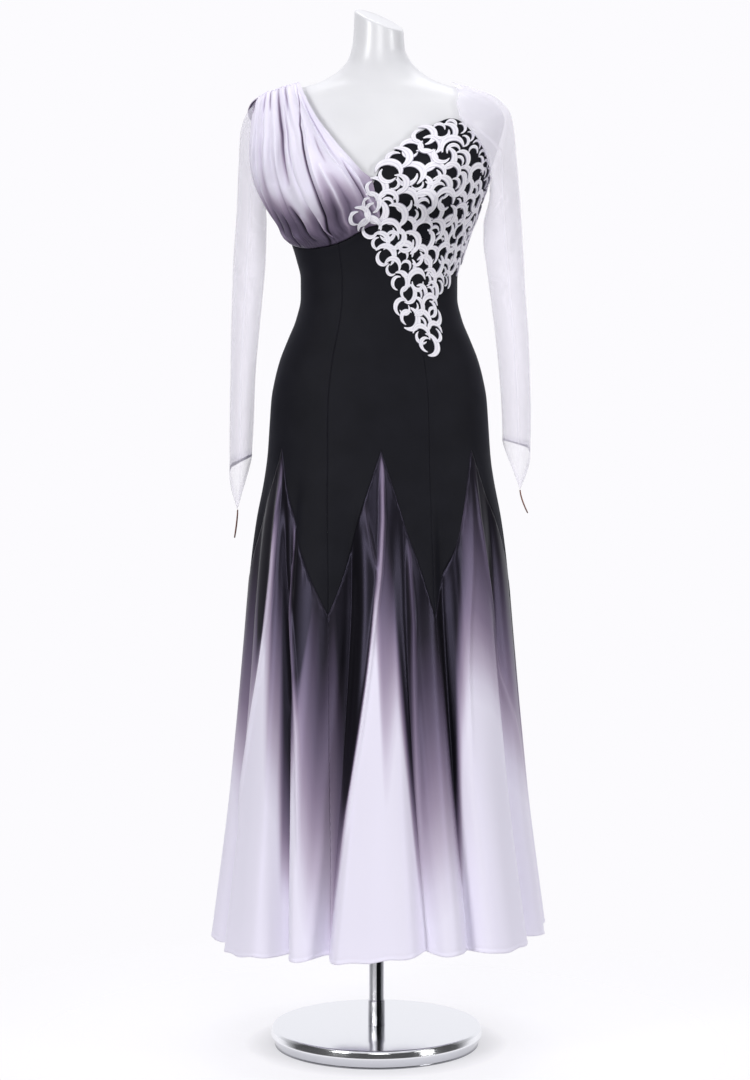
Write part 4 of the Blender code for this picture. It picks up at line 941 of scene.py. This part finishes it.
def drape_base(u, v):
    """The drape without its folds: from its foot over the shoulder to the back."""
    foot_angle, foot_height = drape_foot(u)
    foot_share = np.sin(np.radians(foot_angle))
    out = lerp(*DRAPE_OVER, u)
    ridge = shoulder_height(out)
    t = np.clip(v / DRAPE_RIDGE, 0.0, 1.0)
    height = lerp(foot_height, ridge, t)
    wider = drape_wider(height) * ease(t / 0.25)
    x = lerp(SECTIONS.at("half_width", foot_height) * foot_share, -out, t)
    x = x - lerp(*DRAPE_BOW, u) * np.sin(np.pi * t)
    share = x / (SECTIONS.at("half_width", height) + wider)
    past = SIDE_LIMIT + SIDE_SOFT * np.tanh((share - SIDE_LIMIT) / SIDE_SOFT)
    share = np.where(share < SIDE_LIMIT, past, share)
    share = lerp(foot_share, share, ease(t / 0.12))
    front = figure(np.degrees(np.arcsin(share)), height, wider)
    t = np.clip((v - DRAPE_RIDGE) / (1 - DRAPE_RIDGE), 0.0, 1.0)
    height = lerp(ridge, lerp(*BACK_HEIGHTS, u), t)
    angle = lerp(-90.0, lerp(*BACK_ANGLES, u), ease(t) ** 0.8)
    back = figure(angle, height, drape_wider(height) * (1 - ease(t / 0.8)))
    return np.where((v <= DRAPE_RIDGE)[..., None], front, back)


def drape_lift(u, v):
    """How far the satin stands off: sewn down at its foot, full over the bust, gathered above."""
    rise = np.clip(v / DRAPE_RIDGE, 0.0, 1.0)
    full = np.where(v < DRAPE_RIDGE, np.sin(np.pi * rise**0.6) ** 0.7, 0.0)
    seam = 0.25 + 0.75 * ease(u / 0.20)
    over_crepe = ease(v / 0.6)
    lift = lerp(EASE + 0.0014, EASE + CREPE + 0.0008, over_crepe) + DRAPE_FULL * full * seam
    lift = lift + DRAPE_BUNCHED * ease(v / 0.5) * ease((1 - v) / 0.14)
    floor = lerp(EASE + 0.0008, EASE + CREPE + 0.0006, over_crepe)
    for share, width, depth, start, end in DRAPE_FOLDS:
        window = np.sin(np.pi * np.clip((v - start) / (end - start), 0.0, 1.0)) ** 0.6
        lift = lift - 0.7 * np.minimum(depth, 0.8 * (lift - floor)) * window * bell(u - share, width)
    return np.maximum(lift, floor)


print("shoulder", np.round(shoulder_height(np.array(DRAPE_OVER)), 3))

# %% Creases of the drape
DRAPE_MARKS = (0.0, 0.12, 0.30, 0.50, 0.70)  # shares of the way up at which a crease's place is given
DRAPE_CREASES = [
    # places at those marks, start, end, width and rise in mm, painted highlight (shade below 0)
    # crests, from the middle seam to the side
    ((0.06, 0.02, 0.01, 0.01, 0.02), 0.06, 0.5, 4, 2, 0.02),
    ((0.14, 0.065, 0.05, 0.06, 0.08), 0, 0.26, 2.6, 4.5, 0.34),
    ((0.225, 0.165, 0.13, 0.11, 0.12), 0, 0.66, 3.4, 4.2, 0.1),
    ((0.31, 0.255, 0.225, 0.18, 0.17), 0, 0.3, 2.6, 4.4, 0.3),
    ((0.385, 0.315, 0.262, 0.205, 0.14), 0.02, 0.68, 3, 4, 0.14),
    ((0.45, 0.4, 0.36, 0.33, 0.28), 0, 0.72, 11, 4.6, 0.1),
    ((0.545, 0.5, 0.465, 0.44, 0.42), 0, 0.5, 12, 4, 0.12),
    ((0.635, 0.62, 0.595, 0.575, 0.56), 0.05, 0.72, 11, 4.4, 0.06),
    ((0.72, 0.69, 0.68, 0.67, 0.66), 0, 0.3, 6, 4, 0.06),
    ((0.8, 0.765, 0.74, 0.73, 0.73), 0.02, 0.72, 13, 4.6, 0.06),
    ((0.885, 0.86, 0.86, 0.86, 0.86), 0, 0.4, 6, 4, 0.08),
    ((0.96, 0.94, 0.92, 0.91, 0.9), 0.04, 0.7, 11, 3.6, 0.06),
    # short crests, where the gathers open out of the foot
    ((0.43, 0.395, 0.36, 0.33, 0.3), 0.03, 0.135, 5, 1.5, 0.28),
    ((0.585, 0.56, 0.53, 0.5, 0.5), 0.04, 0.16, 3.6, 1.5, 0.24),
    ((0.83, 0.85, 0.86, 0.86, 0.86), 0.01, 0.09, 4, 1.5, 0.26),
    ((0.88, 0.885, 0.89, 0.89, 0.89), 0.13, 0.29, 4.5, 1.5, 0.28),
    # valleys, darkened with painted shade
    ((0.18, 0.105, 0.035, 0.04, 0.05), 0.02, 0.26, 2.2, -3, -0.34),
    ((0.1, 0.1, 0.09, 0.08, 0.06), 0.24, 0.66, 2.6, -2, -0.16),
    ((0.27, 0.215, 0.19, 0.15, 0.1), 0, 0.25, 2.4, -3, -0.1),
    ((0.2, 0.2, 0.185, 0.15, 0.12), 0.29, 0.44, 2.2, -2, -0.24),
    ((0.35, 0.285, 0.24, 0.2, 0.18), 0, 0.2, 2.2, -3, -0.06),
    ((0.42, 0.35, 0.297, 0.245, 0.07), -0.04, 0.68, 1.7, -5.5, -0.8),
    ((0.5, 0.455, 0.41, 0.395, 0.38), 0.28, 0.62, 4, -2.5, -0.18),
    ((0.495, 0.445, 0.41, 0.395, 0.38), -0.04, 0.12, 2.4, -3, -0.26),
    ((0.58, 0.58, 0.62, 0.61, 0.61), 0.03, 0.2, 3.2, -3.5, -0.42),
    ((0.6, 0.57, 0.522, 0.5, 0.49), 0.26, 0.72, 6.6, -6, -0.6),
    ((0.68, 0.655, 0.625, 0.61, 0.6), 0.18, 0.44, 4.2, -2.5, -0.16),
    ((0.68, 0.65, 0.64, 0.63, 0.655), 0.6, 0.73, 3.4, -3, -0.34),
    ((0.76, 0.725, 0.72, 0.71, 0.71), -0.02, 0.17, 3, -3, -0.24),
    ((0.845, 0.81, 0.805, 0.8, 0.8), 0.26, 0.52, 5, -2.5, -0.16),
    ((0.845, 0.815, 0.81, 0.8, 0.8), -0.02, 0.19, 3, -3, -0.2),
    ((0.93, 0.905, 0.905, 0.9, 0.9), 0.02, 0.3, 4, -2.5, -0.18),
    ((0.36, 0.33, 0.33, 0.33, 0.335), 0.58, 0.73, 3, -2.5, -0.28),
    ((0.82, 0.8, 0.79, 0.78, 0.78), 0.61, 0.73, 3, -2.5, -0.24),
    ((0.985, 0.985, 0.985, 0.985, 0.985), 0.62, 0.8, 3, -1.5, -1),
]
print(len(DRAPE_CREASES), "creases")

# %% Drape
DRAPE_DYE_AND_SHADE = Table(
    "share foot dark pale",
    # how pale the foot is, and the shares of the way up at which its dye and painted shade fade and are
    # gone
    (0, 0.66, 0.02, 0.16), (0.1, 0.58, 0.06, 0.24), (0.17, 0.52, 0.06, 0.31), (0.24, 0.45, 0.08, 0.36),
    (0.3, 0.38, 0.11, 0.29), (0.36, 0.34, 0.05, 0.19), (0.42, 0.34, 0.05, 0.22), (0.47, 0.34, 0.1, 0.23),
    (0.53, 0.31, 0.05, 0.2), (0.61, 0.3, 0.07, 0.33), (0.71, 0.32, 0.11, 0.31), (0.78, 0.34, 0.11, 0.4),
    (0.84, 0.38, 0.09, 0.4), (0.9, 0.42, 0.05, 0.4), (1, 0.46, 0.06, 0.46),
)  # fmt: skip


def drape_creases(u, v):
    """How far the creases stand out at that place, and their painted highlight and painted shade."""
    rise, painted_shading = 0.0 * u, 0.0 * u
    for places, start, end, width, tall, painted_tone in DRAPE_CREASES:
        window = np.sin(np.pi * np.clip((v - start) / (end - start), 0.0, 1.0)) ** 0.6
        away = (u - np.interp(v, DRAPE_MARKS, places)) * DRAPE_ACROSS / (width / 1000)
        fold = window * np.exp(-np.abs(away) ** 1.5)
        rise, painted_shading = rise + tall / 1000 * fold, painted_shading + painted_tone * fold
    return rise, painted_shading


def drape_dye_and_shade(u, v):
    """The drape's tone: dyed darker towards its foot, with painted shade of the folds in it."""
    foot, dark, pale = (DRAPE_DYE_AND_SHADE.at(key, u) for key in DRAPE_DYE_AND_SHADE.columns)
    return lerp(foot, 0.96, ease((v - dark) / (pale - dark)))


u, v = shares(270, 150)
rise, painted_shading = drape_creases(u, v)
gather = 0.0008 * np.sin(u * 230) * bell(v, 0.05) * ease(v / 0.012)
handful = 0.0010 * np.sin(u * 90 + 9 * u * u + 2) * bell(v - 0.76, 0.07)
puff = 0.0045 * bell(v - 0.055, 0.04) * ease((u - DRAPE_CORNER) / 0.06)
lift = drape_lift(u, v) + (rise + gather) * ease(v / 0.03) + handful + puff + 0.002 * ease(v / 0.1)
lift = SATIN + np.maximum(lift, EASE + CREPE * ease(v / 0.6) + 0.0006) - 0.0015 * ease(v / 0.1)
into = directions(drape_base, np.clip(u, 0.01, 0.99), np.clip(v, 0.01, 0.99), 0.008, 0.008)
points = drape_base(u, v) - lift[..., None] * into
# dye with painted highlights on the crests and painted shade in the valleys
dye_and_shading = np.clip(drape_dye_and_shade(u, v) + painted_shading, 0.12, 1.0)[:, ::-1]
threads = (1 - u) * THREADS_ACROSS, v * THREADS_UP
drape = shell("satin_drape", points[:, ::-1], satin, "right_drape", threads=threads, dye=dye_and_shading)

# %% [markdown]
# ## The lace
# The lace is a field of crescents in corded satin stitch. Each is laid out flat as in the embroidery
# file, its place is read as an angle and a height, and it is then set down on whatever cloth is under
# it. A crescent is a low dome between two corded edges, and those that meet overlap by a thread.

# %% Plan of the lace
LACE_FIELD = Table(
    "angle low high",
    (-12, 1.292, 1.342), (-7, 1.282, 1.375), (-1, 1.265, 1.403), (6, 1.239, 1.431), (13, 1.202, 1.453),
    (20, 1.125, 1.467), (31, 1.115, 1.483), (36, 1.132, 1.475), (44, 1.172, 1.455), (52, 1.207, 1.428),
    (66, 1.233, 1.391), (80, 1.251, 1.365), (92, 1.269, 1.357), (99, 1.287, 1.347),
)  # fmt: skip
FLAT_RADIUS = 0.150  # metres of flat lace for each radian round the bodice
LACE_FOOT, ROW_STEP, COLUMN_STEP = 1.132, 0.0205, 0.0275
AIMS = (30.0, 80.0, -20.0, 50.0)  # degrees, in turn


def crescent_plan():
    """Middle, size and aim of each crescent, row by row over the field."""
    plan = []
    for row in range(19):
        height = LACE_FOOT + row * ROW_STEP
        for column in range(-4, 14):
            x = (column + 0.5 * (row % 2)) * COLUMN_STEP
            angle = math.degrees(x / FLAT_RADIUS)
            low, high = LACE_FIELD.at("low", angle) + 0.010, LACE_FIELD.at("high", angle) - 0.008
            if LACE_FIELD.keys[0] < angle < LACE_FIELD.keys[-1] and low < height < high:
                aim = AIMS[(row + 2 * column) % 4] + 25.0 * math.sin(1.7 * row + 2.3 * column)
                plan.append((x, height, 1 + 0.12 * math.sin(2.1 * row - 1.3 * column), aim))
    return plan


SMALL_ONES = [
    # how far into the hollow of the large one, size, how far it is turned
    (0.0075, 0.66, 165.0), (0.0060, 0.60, 15.0), (0.0080, 0.70, 215.0), (0.0040, 0.50, 60.0), None,
    (0.0065, 0.62, 120.0), (0.0055, 0.52, -40.0), (0.0085, 0.74, 250.0),
]  # fmt: skip
LOOSE = (0.0035, 0.003, 0.0, 42.0)  # how far the hand strays: along, up, in size and in degrees


def loosened(plan):
    """The plan as the embroiderer's hand leaves it: no two crescents turned or set quite alike."""
    sway = np.sin(np.outer(np.arange(len(plan)), (7.3, 4.1, 0.0, 9.7)))
    return (np.array(plan) + LOOSE * sway).tolist()


def nested(plan):
    """The smaller crescents: most face a large one and close its ring, some lie inside it."""
    small = []
    for number, (x, height, size, aim) in enumerate(plan):
        starts_row = number == 0 or height > plan[number - 1][1] + 0.012
        pick = 0 if starts_row else int(abs(math.sin(12.99 * number)) * 4375.8) % len(SMALL_ONES)
        if SMALL_ONES[pick]:
            deep, share, turned_by = SMALL_ONES[pick]
            into = math.radians(aim + 180.0)
            x, height = x + deep * math.cos(into), height + deep * math.sin(into)
            small.append((x, height, share * size, aim + turned_by + 20.0 * math.sin(5.1 * number)))
    return small


def edging():
    """Two rows of small crescents along the cup's armhole edge, where the large ones don't fit."""
    rows = [(angle, 0.010, 0.5) for angle in range(28, 80, 6)]
    rows += [(angle, 0.024, 0.55) for angle in range(43, 80, 7)]
    plan = []
    for angle, below, size in rows:
        height = float(CUP_EDGE.at("height", angle)) - below
        plan.append((FLAT_RADIUS * math.radians(angle), height, size, 50.0 + 40.0 * math.sin(2.3 * angle)))
    return plan


plan = loosened(crescent_plan())
plan += nested(plan) + edging()
print(len(plan), "crescents")

# %% Lace


def outer_skin(pieces):
    """The outer faces of those pieces, to lay something on."""
    corners, faces = [], []
    for piece in pieces:
        first = len(corners)
        corners += [vert.co.copy() for vert in piece.data.vertices]
        faces += [[first + i for i in face.vertices] for face in piece.data.polygons]
    return BVHTree.FromPolygons(corners, faces)


# across a band: a cord, the stitches, a cord, as shares of its width, height and painted shade
ACROSS = np.array([0.0, 0.0, 0.10, 0.24, 0.38, 0.5, 0.62, 0.76, 0.90, 1.0, 1.0])[:, None]
PROFILE = np.array([0.0, 0.55, 1.0, 0.80, 0.62, 0.68, 0.62, 0.80, 1.0, 0.55, 0.0])[:, None]
TONE = (0.0, 0.2, 0.9, 1.0, 0.85, 0.6, 0.85, 1.0, 0.9, 0.2, 0.0)
BAND_WIDTH, BAND_RADIUS, BAND_LENGTH, BAND_SWEEP = 0.0098, 0.0172, 0.066, 220.0  # metres and degrees
LACE_HEIGHT, LACE_STEPS, CAST = 0.0015, 24, 0.03  # CAST: how far out the search for the cloth starts
skin = ("crepe_cup", "crepe_centre_front", "crepe_left_front", "crepe_left_back", "satin_drape")
skin = outer_skin([bpy.data.objects[name] for name in skin])
verts, quads, threads, painted_band_shade = [], [], [], []
for number, (x, height, size, aim) in enumerate(plan):
    share = np.linspace(0.0, 1.0, LACE_STEPS + 1)
    turn = np.radians(aim + BAND_SWEEP * (share - 0.5))
    width = BAND_WIDTH * size * (0.16 + 0.84 * np.sin(np.pi * share) ** 0.8)
    radius = BAND_RADIUS * size - ACROSS * width
    flat_x, flat_z = x + radius * np.cos(turn), height + radius * np.sin(turn)
    angle = np.degrees(flat_x / FLAT_RADIUS)
    foot, out = figure(angle, flat_z), out_of_figure(angle, flat_z)
    rise = LACE_HEIGHT * PROFILE * (0.6 + 0.4 * np.minimum(width / 0.006, 1.0))
    # neighbours take three levels, so that those that meet overlap cleanly
    rise = rise + (0.0003 + 0.0004 * (number % 3)) * (PROFILE > 0)
    first = len(verts)
    for i, j in np.ndindex(angle.shape):
        start, way = Vector(foot[i, j]), Vector(out[i, j])
        distance = skin.ray_cast(start + CAST * way, -way)[3]
        lift = max(CAST - distance if distance else 0.0, EASE + CREPE)
        verts.append(start + way * float(lift + rise[i, j] + 0.0002))
        threads.append((share[j] * BAND_LENGTH * size, ACROSS[i, 0] * width[j]))
        # painted shade across the band
        painted_band_shade.append(TONE[i])
    for i, j in np.ndindex(len(ACROSS) - 1, LACE_STEPS):
        a = first + i * (LACE_STEPS + 1) + j
        quads.append((a, a + LACE_STEPS + 1, a + LACE_STEPS + 2, a + 1))
in_place(cloth_mesh("corded_lace", verts, quads, threads, painted_band_shade), lace, "lace_applique")
print("lace:", len(quads), "faces")

# %% [markdown]
# ## The sleeves
# A mesh sleeve is one piece of net with a single seam, set into the armhole and closed in a point over
# the hand. It has almost no ease, so it stands round where an arm would be only because it is stiffened,
# and it shows soft dents above the elbow. Its cuff is faced with a second layer.

# %% Sizes of the sleeves
RING, HOLE = "share outer_x outer_z inner_x inner_z front back", "share angle height"
SLEEVES = {
    "left_sleeve": Table(
        RING,
        (0, 0.126, 1.5405, 0.1775, 1.376, 0.076, 0.086),
        (0.06, 0.166, 1.534, 0.1795, 1.371, 0.072, 0.078),
        (0.12, 0.192, 1.521, 0.18, 1.364, 0.064, 0.068), (0.18, 0.21, 1.505, 0.178, 1.354, 0.055, 0.058),
        (0.25, 0.219, 1.466, 0.174, 1.342, 0.047, 0.05), (0.33, 0.224, 1.412, 0.17, 1.322, 0.041, 0.044),
        (0.42, 0.229, 1.352, 0.17, 1.297, 0.038, 0.041),
        (0.52, 0.234, 1.277, 0.1755, 1.252, 0.037, 0.039),
        (0.62, 0.238, 1.207, 0.183, 1.197, 0.035, 0.037),
        (0.72, 0.243, 1.142, 0.1905, 1.137, 0.032, 0.034),
        (0.82, 0.2455, 1.079, 0.1965, 1.077, 0.029, 0.031),
        (0.92, 0.247, 1.017, 0.2005, 1.017, 0.027, 0.029), (1, 0.246, 0.967, 0.2015, 0.98, 0.026, 0.028),
    ),  # fmt: skip
    "right_sleeve": Table(
        RING,
        (0, 0.184, 1.52, 0.168, 1.376, 0.05, 0.066), (0.07, 0.198, 1.513, 0.172, 1.369, 0.047, 0.06),
        (0.14, 0.208, 1.497, 0.175, 1.359, 0.044, 0.054),
        (0.22, 0.216, 1.463, 0.176, 1.347, 0.041, 0.048),
        (0.32, 0.219, 1.412, 0.175, 1.327, 0.038, 0.043),
        (0.42, 0.2215, 1.352, 0.1755, 1.302, 0.036, 0.04),
        (0.52, 0.227, 1.277, 0.1775, 1.255, 0.035, 0.038),
        (0.62, 0.23, 1.207, 0.183, 1.197, 0.033, 0.036),
        (0.72, 0.232, 1.142, 0.189, 1.137, 0.031, 0.033),
        (0.82, 0.233, 1.079, 0.194, 1.077, 0.029, 0.03),
        (0.92, 0.2345, 1.012, 0.1965, 1.012, 0.027, 0.028), (1, 0.235, 0.935, 0.2, 0.954, 0.026, 0.027),
    ),  # fmt: skip
}
ARMHOLES = {
    "left_sleeve": Table(
        HOLE,
        (0, 90, 1.5415), (0.07, 62, 1.536), (0.13, 45, 1.522), (0.19, 38, 1.504), (0.25, 38, 1.486),
        (0.31, 48, 1.463), (0.37, 62, 1.431), (0.44, 78, 1.395), (0.5, 90, 1.379), (0.56, 101, 1.393),
        (0.64, 116, 1.426), (0.72, 131, 1.457), (0.78, 141, 1.471), (0.85, 142, 1.494),
        (0.92, 126, 1.525), (1, 90, 1.5415),
    ),  # fmt: skip
    "right_sleeve": Table(
        HOLE,
        (0, 90, 1.506), (0.1, 72, 1.496), (0.2, 62, 1.469), (0.3, 62, 1.437), (0.42, 76, 1.397),
        (0.5, 90, 1.379), (0.58, 103, 1.397), (0.7, 114, 1.432), (0.8, 115, 1.461), (0.9, 103, 1.494),
        (1, 90, 1.506),
    ),  # fmt: skip
}
CUFF_POINTS = {"left_sleeve": 0.070, "right_sleeve": 0.072}  # how far the cuff's point reaches down
OFF_BODY = {"left_sleeve": 0.0055, "right_sleeve": 0.0032}
# painted shade: the inside of each sleeve past the facing shows as a grey line, which also covers more
INSIDE_SHADE_AND_COVER = {"left_sleeve": 0.62, "right_sleeve": 0.78}  # how dark the inside shows past the facing
POINT_AT, SEAM_AT = 3 / 14, 0.24  # shares round the sleeve of the cuff's point and of the seam
POINT_SPREAD, HEAD = 110.0, 0.20  # degrees to each side of the point, share of the sleeve near the armhole
for name, table in SLEEVES.items():
    print(name, "falls", round(1000 * (table.at("outer_z", 0.0) - table.at("outer_z", 1.0))), "mm")

# %% Shape of a sleeve


def clear_of_figure(place, gap):
    """The points, moved where they must be to stay that far off the figure."""
    x, y, z = place[..., 0] - CENTRE_X, place[..., 1], place[..., 2]
    depth = np.where(y < 0, SECTIONS.at("front", z), SECTIONS.at("back", z))
    angle = np.degrees(np.arctan2(x / SECTIONS.at("half_width", z), -y / depth))
    out = out_of_figure(angle, z)
    short = gap - np.sum((place - figure(angle, z)) * out, axis=-1)
    return place + np.maximum(short, 0.0)[..., None] * out


def sleeve_ring(name, u, v):
    """The sleeve's outer face: u turns round it from outside through the front, v runs to the cuff."""
    row, side = SLEEVES[name], 1 if name == "left_sleeve" else -1
    turn = 2 * np.pi * u
    outer_x, outer_z, inner_x, inner_z, front, back = (row.at(key, v) for key in row.columns)
    x = (outer_x + inner_x) / 2 + (outer_x - inner_x) / 2 * np.cos(turn)
    z = (outer_z + inner_z) / 2 + (outer_z - inner_z) / 2 * np.cos(turn)
    y = -np.where(np.sin(turn) > 0, front, back) * np.sin(turn)
    away = np.abs(turned(360.0 * (u - POINT_AT))) / POINT_SPREAD
    z = z - CUFF_POINTS[name] * np.maximum(1 - away, 0.0) ** 1.6 * ease((v - 0.86) / 0.14)
    hole, gap = ARMHOLES[name], OFF_BODY[name] + MESH
    head = on_figure(side * hole.at("angle", u % 1.0), hole.at("height", u % 1.0), gap)
    place = lerp(head, point(side * x, y, z), ease(v / HEAD)[..., None])
    return clear_of_figure(place, gap)


print("tip of the left cuff:", np.round(sleeve_ring("left_sleeve", POINT_AT, 1.0), 3))

# %% Sleeves
SLEEVE_WIDTH, SLEEVE_LENGTH = 0.24, 0.62  # metres
SLEEVE_DENTS = [
    # share round the sleeve, share along it, half length round and along, depth in mm
    (0.16, 0.50, 0.10, 0.020, 1.4), (0.28, 0.54, 0.09, 0.016, 1.2), (0.20, 0.60, 0.10, 0.022, 1.3),
    (0.10, 0.30, 0.08, 0.024, 1.0), (0.85, 0.52, 0.10, 0.022, 1.4), (0.70, 0.57, 0.10, 0.020, 1.2),
    (0.25, 0.76, 0.09, 0.020, 0.8),
]  # fmt: skip
FACING_ROWS = [0.99, 0.9935, 0.9945, 1.0]  # shares of the way along, close together at the cuff's facing
for name in SLEEVES:
    u, v = shares(np.linspace(0, 1, 97)[:-1], np.concatenate([np.linspace(0, 0.985, 130), FACING_ROWS]))
    surface = lambda a, b: sleeve_ring(name, a, np.clip(b, 0.0, 1.0))
    points = surface(u, v)
    out = directions(surface, u, np.clip(v, 0.004, 0.996), 0.01, 0.004)
    across = points - surface(u + 0.5, v)
    out = out * np.sign(np.sum(out * across, axis=-1))[..., None]
    dent = 0.0 * u
    for at_u, at_v, wide, long, depth in SLEEVE_DENTS:
        away = (turned(360 * (u - at_u)) / 360 / wide) ** 2 + ((v - at_v - 0.10 * (u - at_u)) / long) ** 2
        dent = dent + depth / 1000 * np.exp(-away)
    from_seam = turned(360 * (u - SEAM_AT))
    points = points + (0.0005 * bell(from_seam, 1.2) - dent)[..., None] * out
    doubled = ease((v - 0.982) / 0.004) * 0.28 + 0.20 * bell(from_seam, 1.6)
    doubled = doubled + 0.2 * ease((0.012 - v) / 0.004)
    # past the facing the inside is painted in shade, a grey line
    painted_inside_shade = INSIDE_SHADE_AND_COVER[name] * ease((u - 0.5) / 0.03) * ease((1 - u) / 0.03)
    cover_and_shade = np.maximum(np.where(v > 0.994, painted_inside_shade, 0.0), 0.6 * doubled)
    made, threads = name.replace("sleeve", "mesh_sleeve"), (u * SLEEVE_WIDTH, v * SLEEVE_LENGTH)
    piece = shell(made, points, net, name, thickness=0.0005, wrap=True, threads=threads, dye=cover_and_shade)

# %% [markdown]
# ## The studio
# The dress stands on white paper, before a white wall that also lights it from behind. One large soft
# light stands to the left and in front, so the folds shade to the right, a weak one on the right fills
# the shadows, and one above gives the satin its rim.

# %% Floor
FLOOR_REACH = 1.2
ring = np.radians(np.linspace(0, 360, 65)[:-1])
corners = point(FLOOR_REACH * np.cos(ring), FLOOR_REACH * np.sin(ring), 0.0)
floor_mesh = bpy.data.meshes.new("studio_floor")
floor_mesh.from_pydata(corners.tolist(), [], [tuple(range(len(corners)))])
paper, tree, sockets = finish("white_paper", "#929295", 0.9, Specular_IOR_Level=0.1)
sockets["Emission Color"].default_value = linear("#fcfbfe")
place = add(tree, "TexCoord").outputs["Object"]
reach = add(tree, "VectorMath", {"operation": "LENGTH"}, {0: place}).outputs["Value"]
fade = {"From Min": 0.30, "From Max": 0.85, "To Min": 1.0, "To Max": 0.0}
add(tree, "MapRange", fade, {"Value": reach}, sockets["Alpha"])
# a painted shadow round the base's foot: the paper glows less there
painted_shadow = {"From Min": 0.166, "From Max": 0.215, "To Min": 0.52, "To Max": 0.74}
add(tree, "MapRange", painted_shadow, {"Value": reach}, sockets["Emission Strength"])
floor_mesh.materials.append(paper)
studio_floor = bpy.data.objects.new("studio_floor", floor_mesh)
bpy.context.scene.collection.objects.link(studio_floor)
print("floor", FLOOR_REACH, "m")

# %% Walls and lights
world = bpy.data.worlds.new("studio")
bpy.context.scene.world = world
world.use_nodes = True
tree = world.node_tree
backdrop = tree.nodes["Background"]
backdrop.inputs["Color"].default_value = linear("#fcfbfe")
way = add(tree, "SeparateXYZ", links={0: add(tree, "TexCoord").outputs["Generated"]}).outputs
wall = {"From Min": 0.1, "From Max": 0.7, "To Min": 0.08, "To Max": 1.0}
wall = add(tree, "MapRange", wall, {"Value": way["Y"]}).outputs[0]
# a strip light runs round the room under its ceiling
strip = add(tree, "MapRange", {"From Min": 0.66, "From Max": 0.70, "To Max": 0.85}, {"Value": way["Z"]})
above = add(tree, "MapRange", {"From Min": 0.84, "From Max": 0.80}, {"Value": way["Z"]})
lit = {0: strip.outputs[0], 1: above.outputs[0], 2: wall}
lit = add(tree, "Math", {"operation": "MULTIPLY_ADD"}, lit).outputs[0]
room = add(tree, "Background", {"Color": linear("#f6f6fb")}, {"Strength": lit}).outputs[0]
seen = add(tree, "LightPath").outputs["Is Camera Ray"]
surface = tree.nodes["World Output"].inputs["Surface"]
add(tree, "MixShader", links={0: seen, 1: room, 2: backdrop.outputs[0]}, into=surface)

LIGHTS = {
    # place, height that it points at, width and height in metres, watts
    "key_softbox": ((-2.7, -3.1, 2.1), 1.0, 1.0, 2.4, 104.0),
    "front_softbox": ((0.3, -4.6, 2.5), 1.0, 1.6, 1.4, 52.0),
    "fill_softbox": ((3.2, -2.2, 1.6), 1.0, 0.9, 2.4, 66.0),
    "top_softbox": ((0.2, 0.4, 3.6), 1.2, 1.8, 1.8, 28.0),
}
for name, (place, aim, width, tall, watts) in LIGHTS.items():
    light = bpy.data.lights.new(name, "AREA")
    light.shape, light.size, light.size_y, light.energy = "RECTANGLE", width, tall, watts
    softbox = bpy.data.objects.new(name, light)
    softbox.location = place
    softbox.rotation_euler = (Vector((0.0, 0.0, aim)) - Vector(place)).to_track_quat("-Z", "Y").to_euler()
    bpy.context.scene.collection.objects.link(softbox)
bpy.context.scene.view_settings.view_transform = "Standard"
print(len(LIGHTS), "lights")
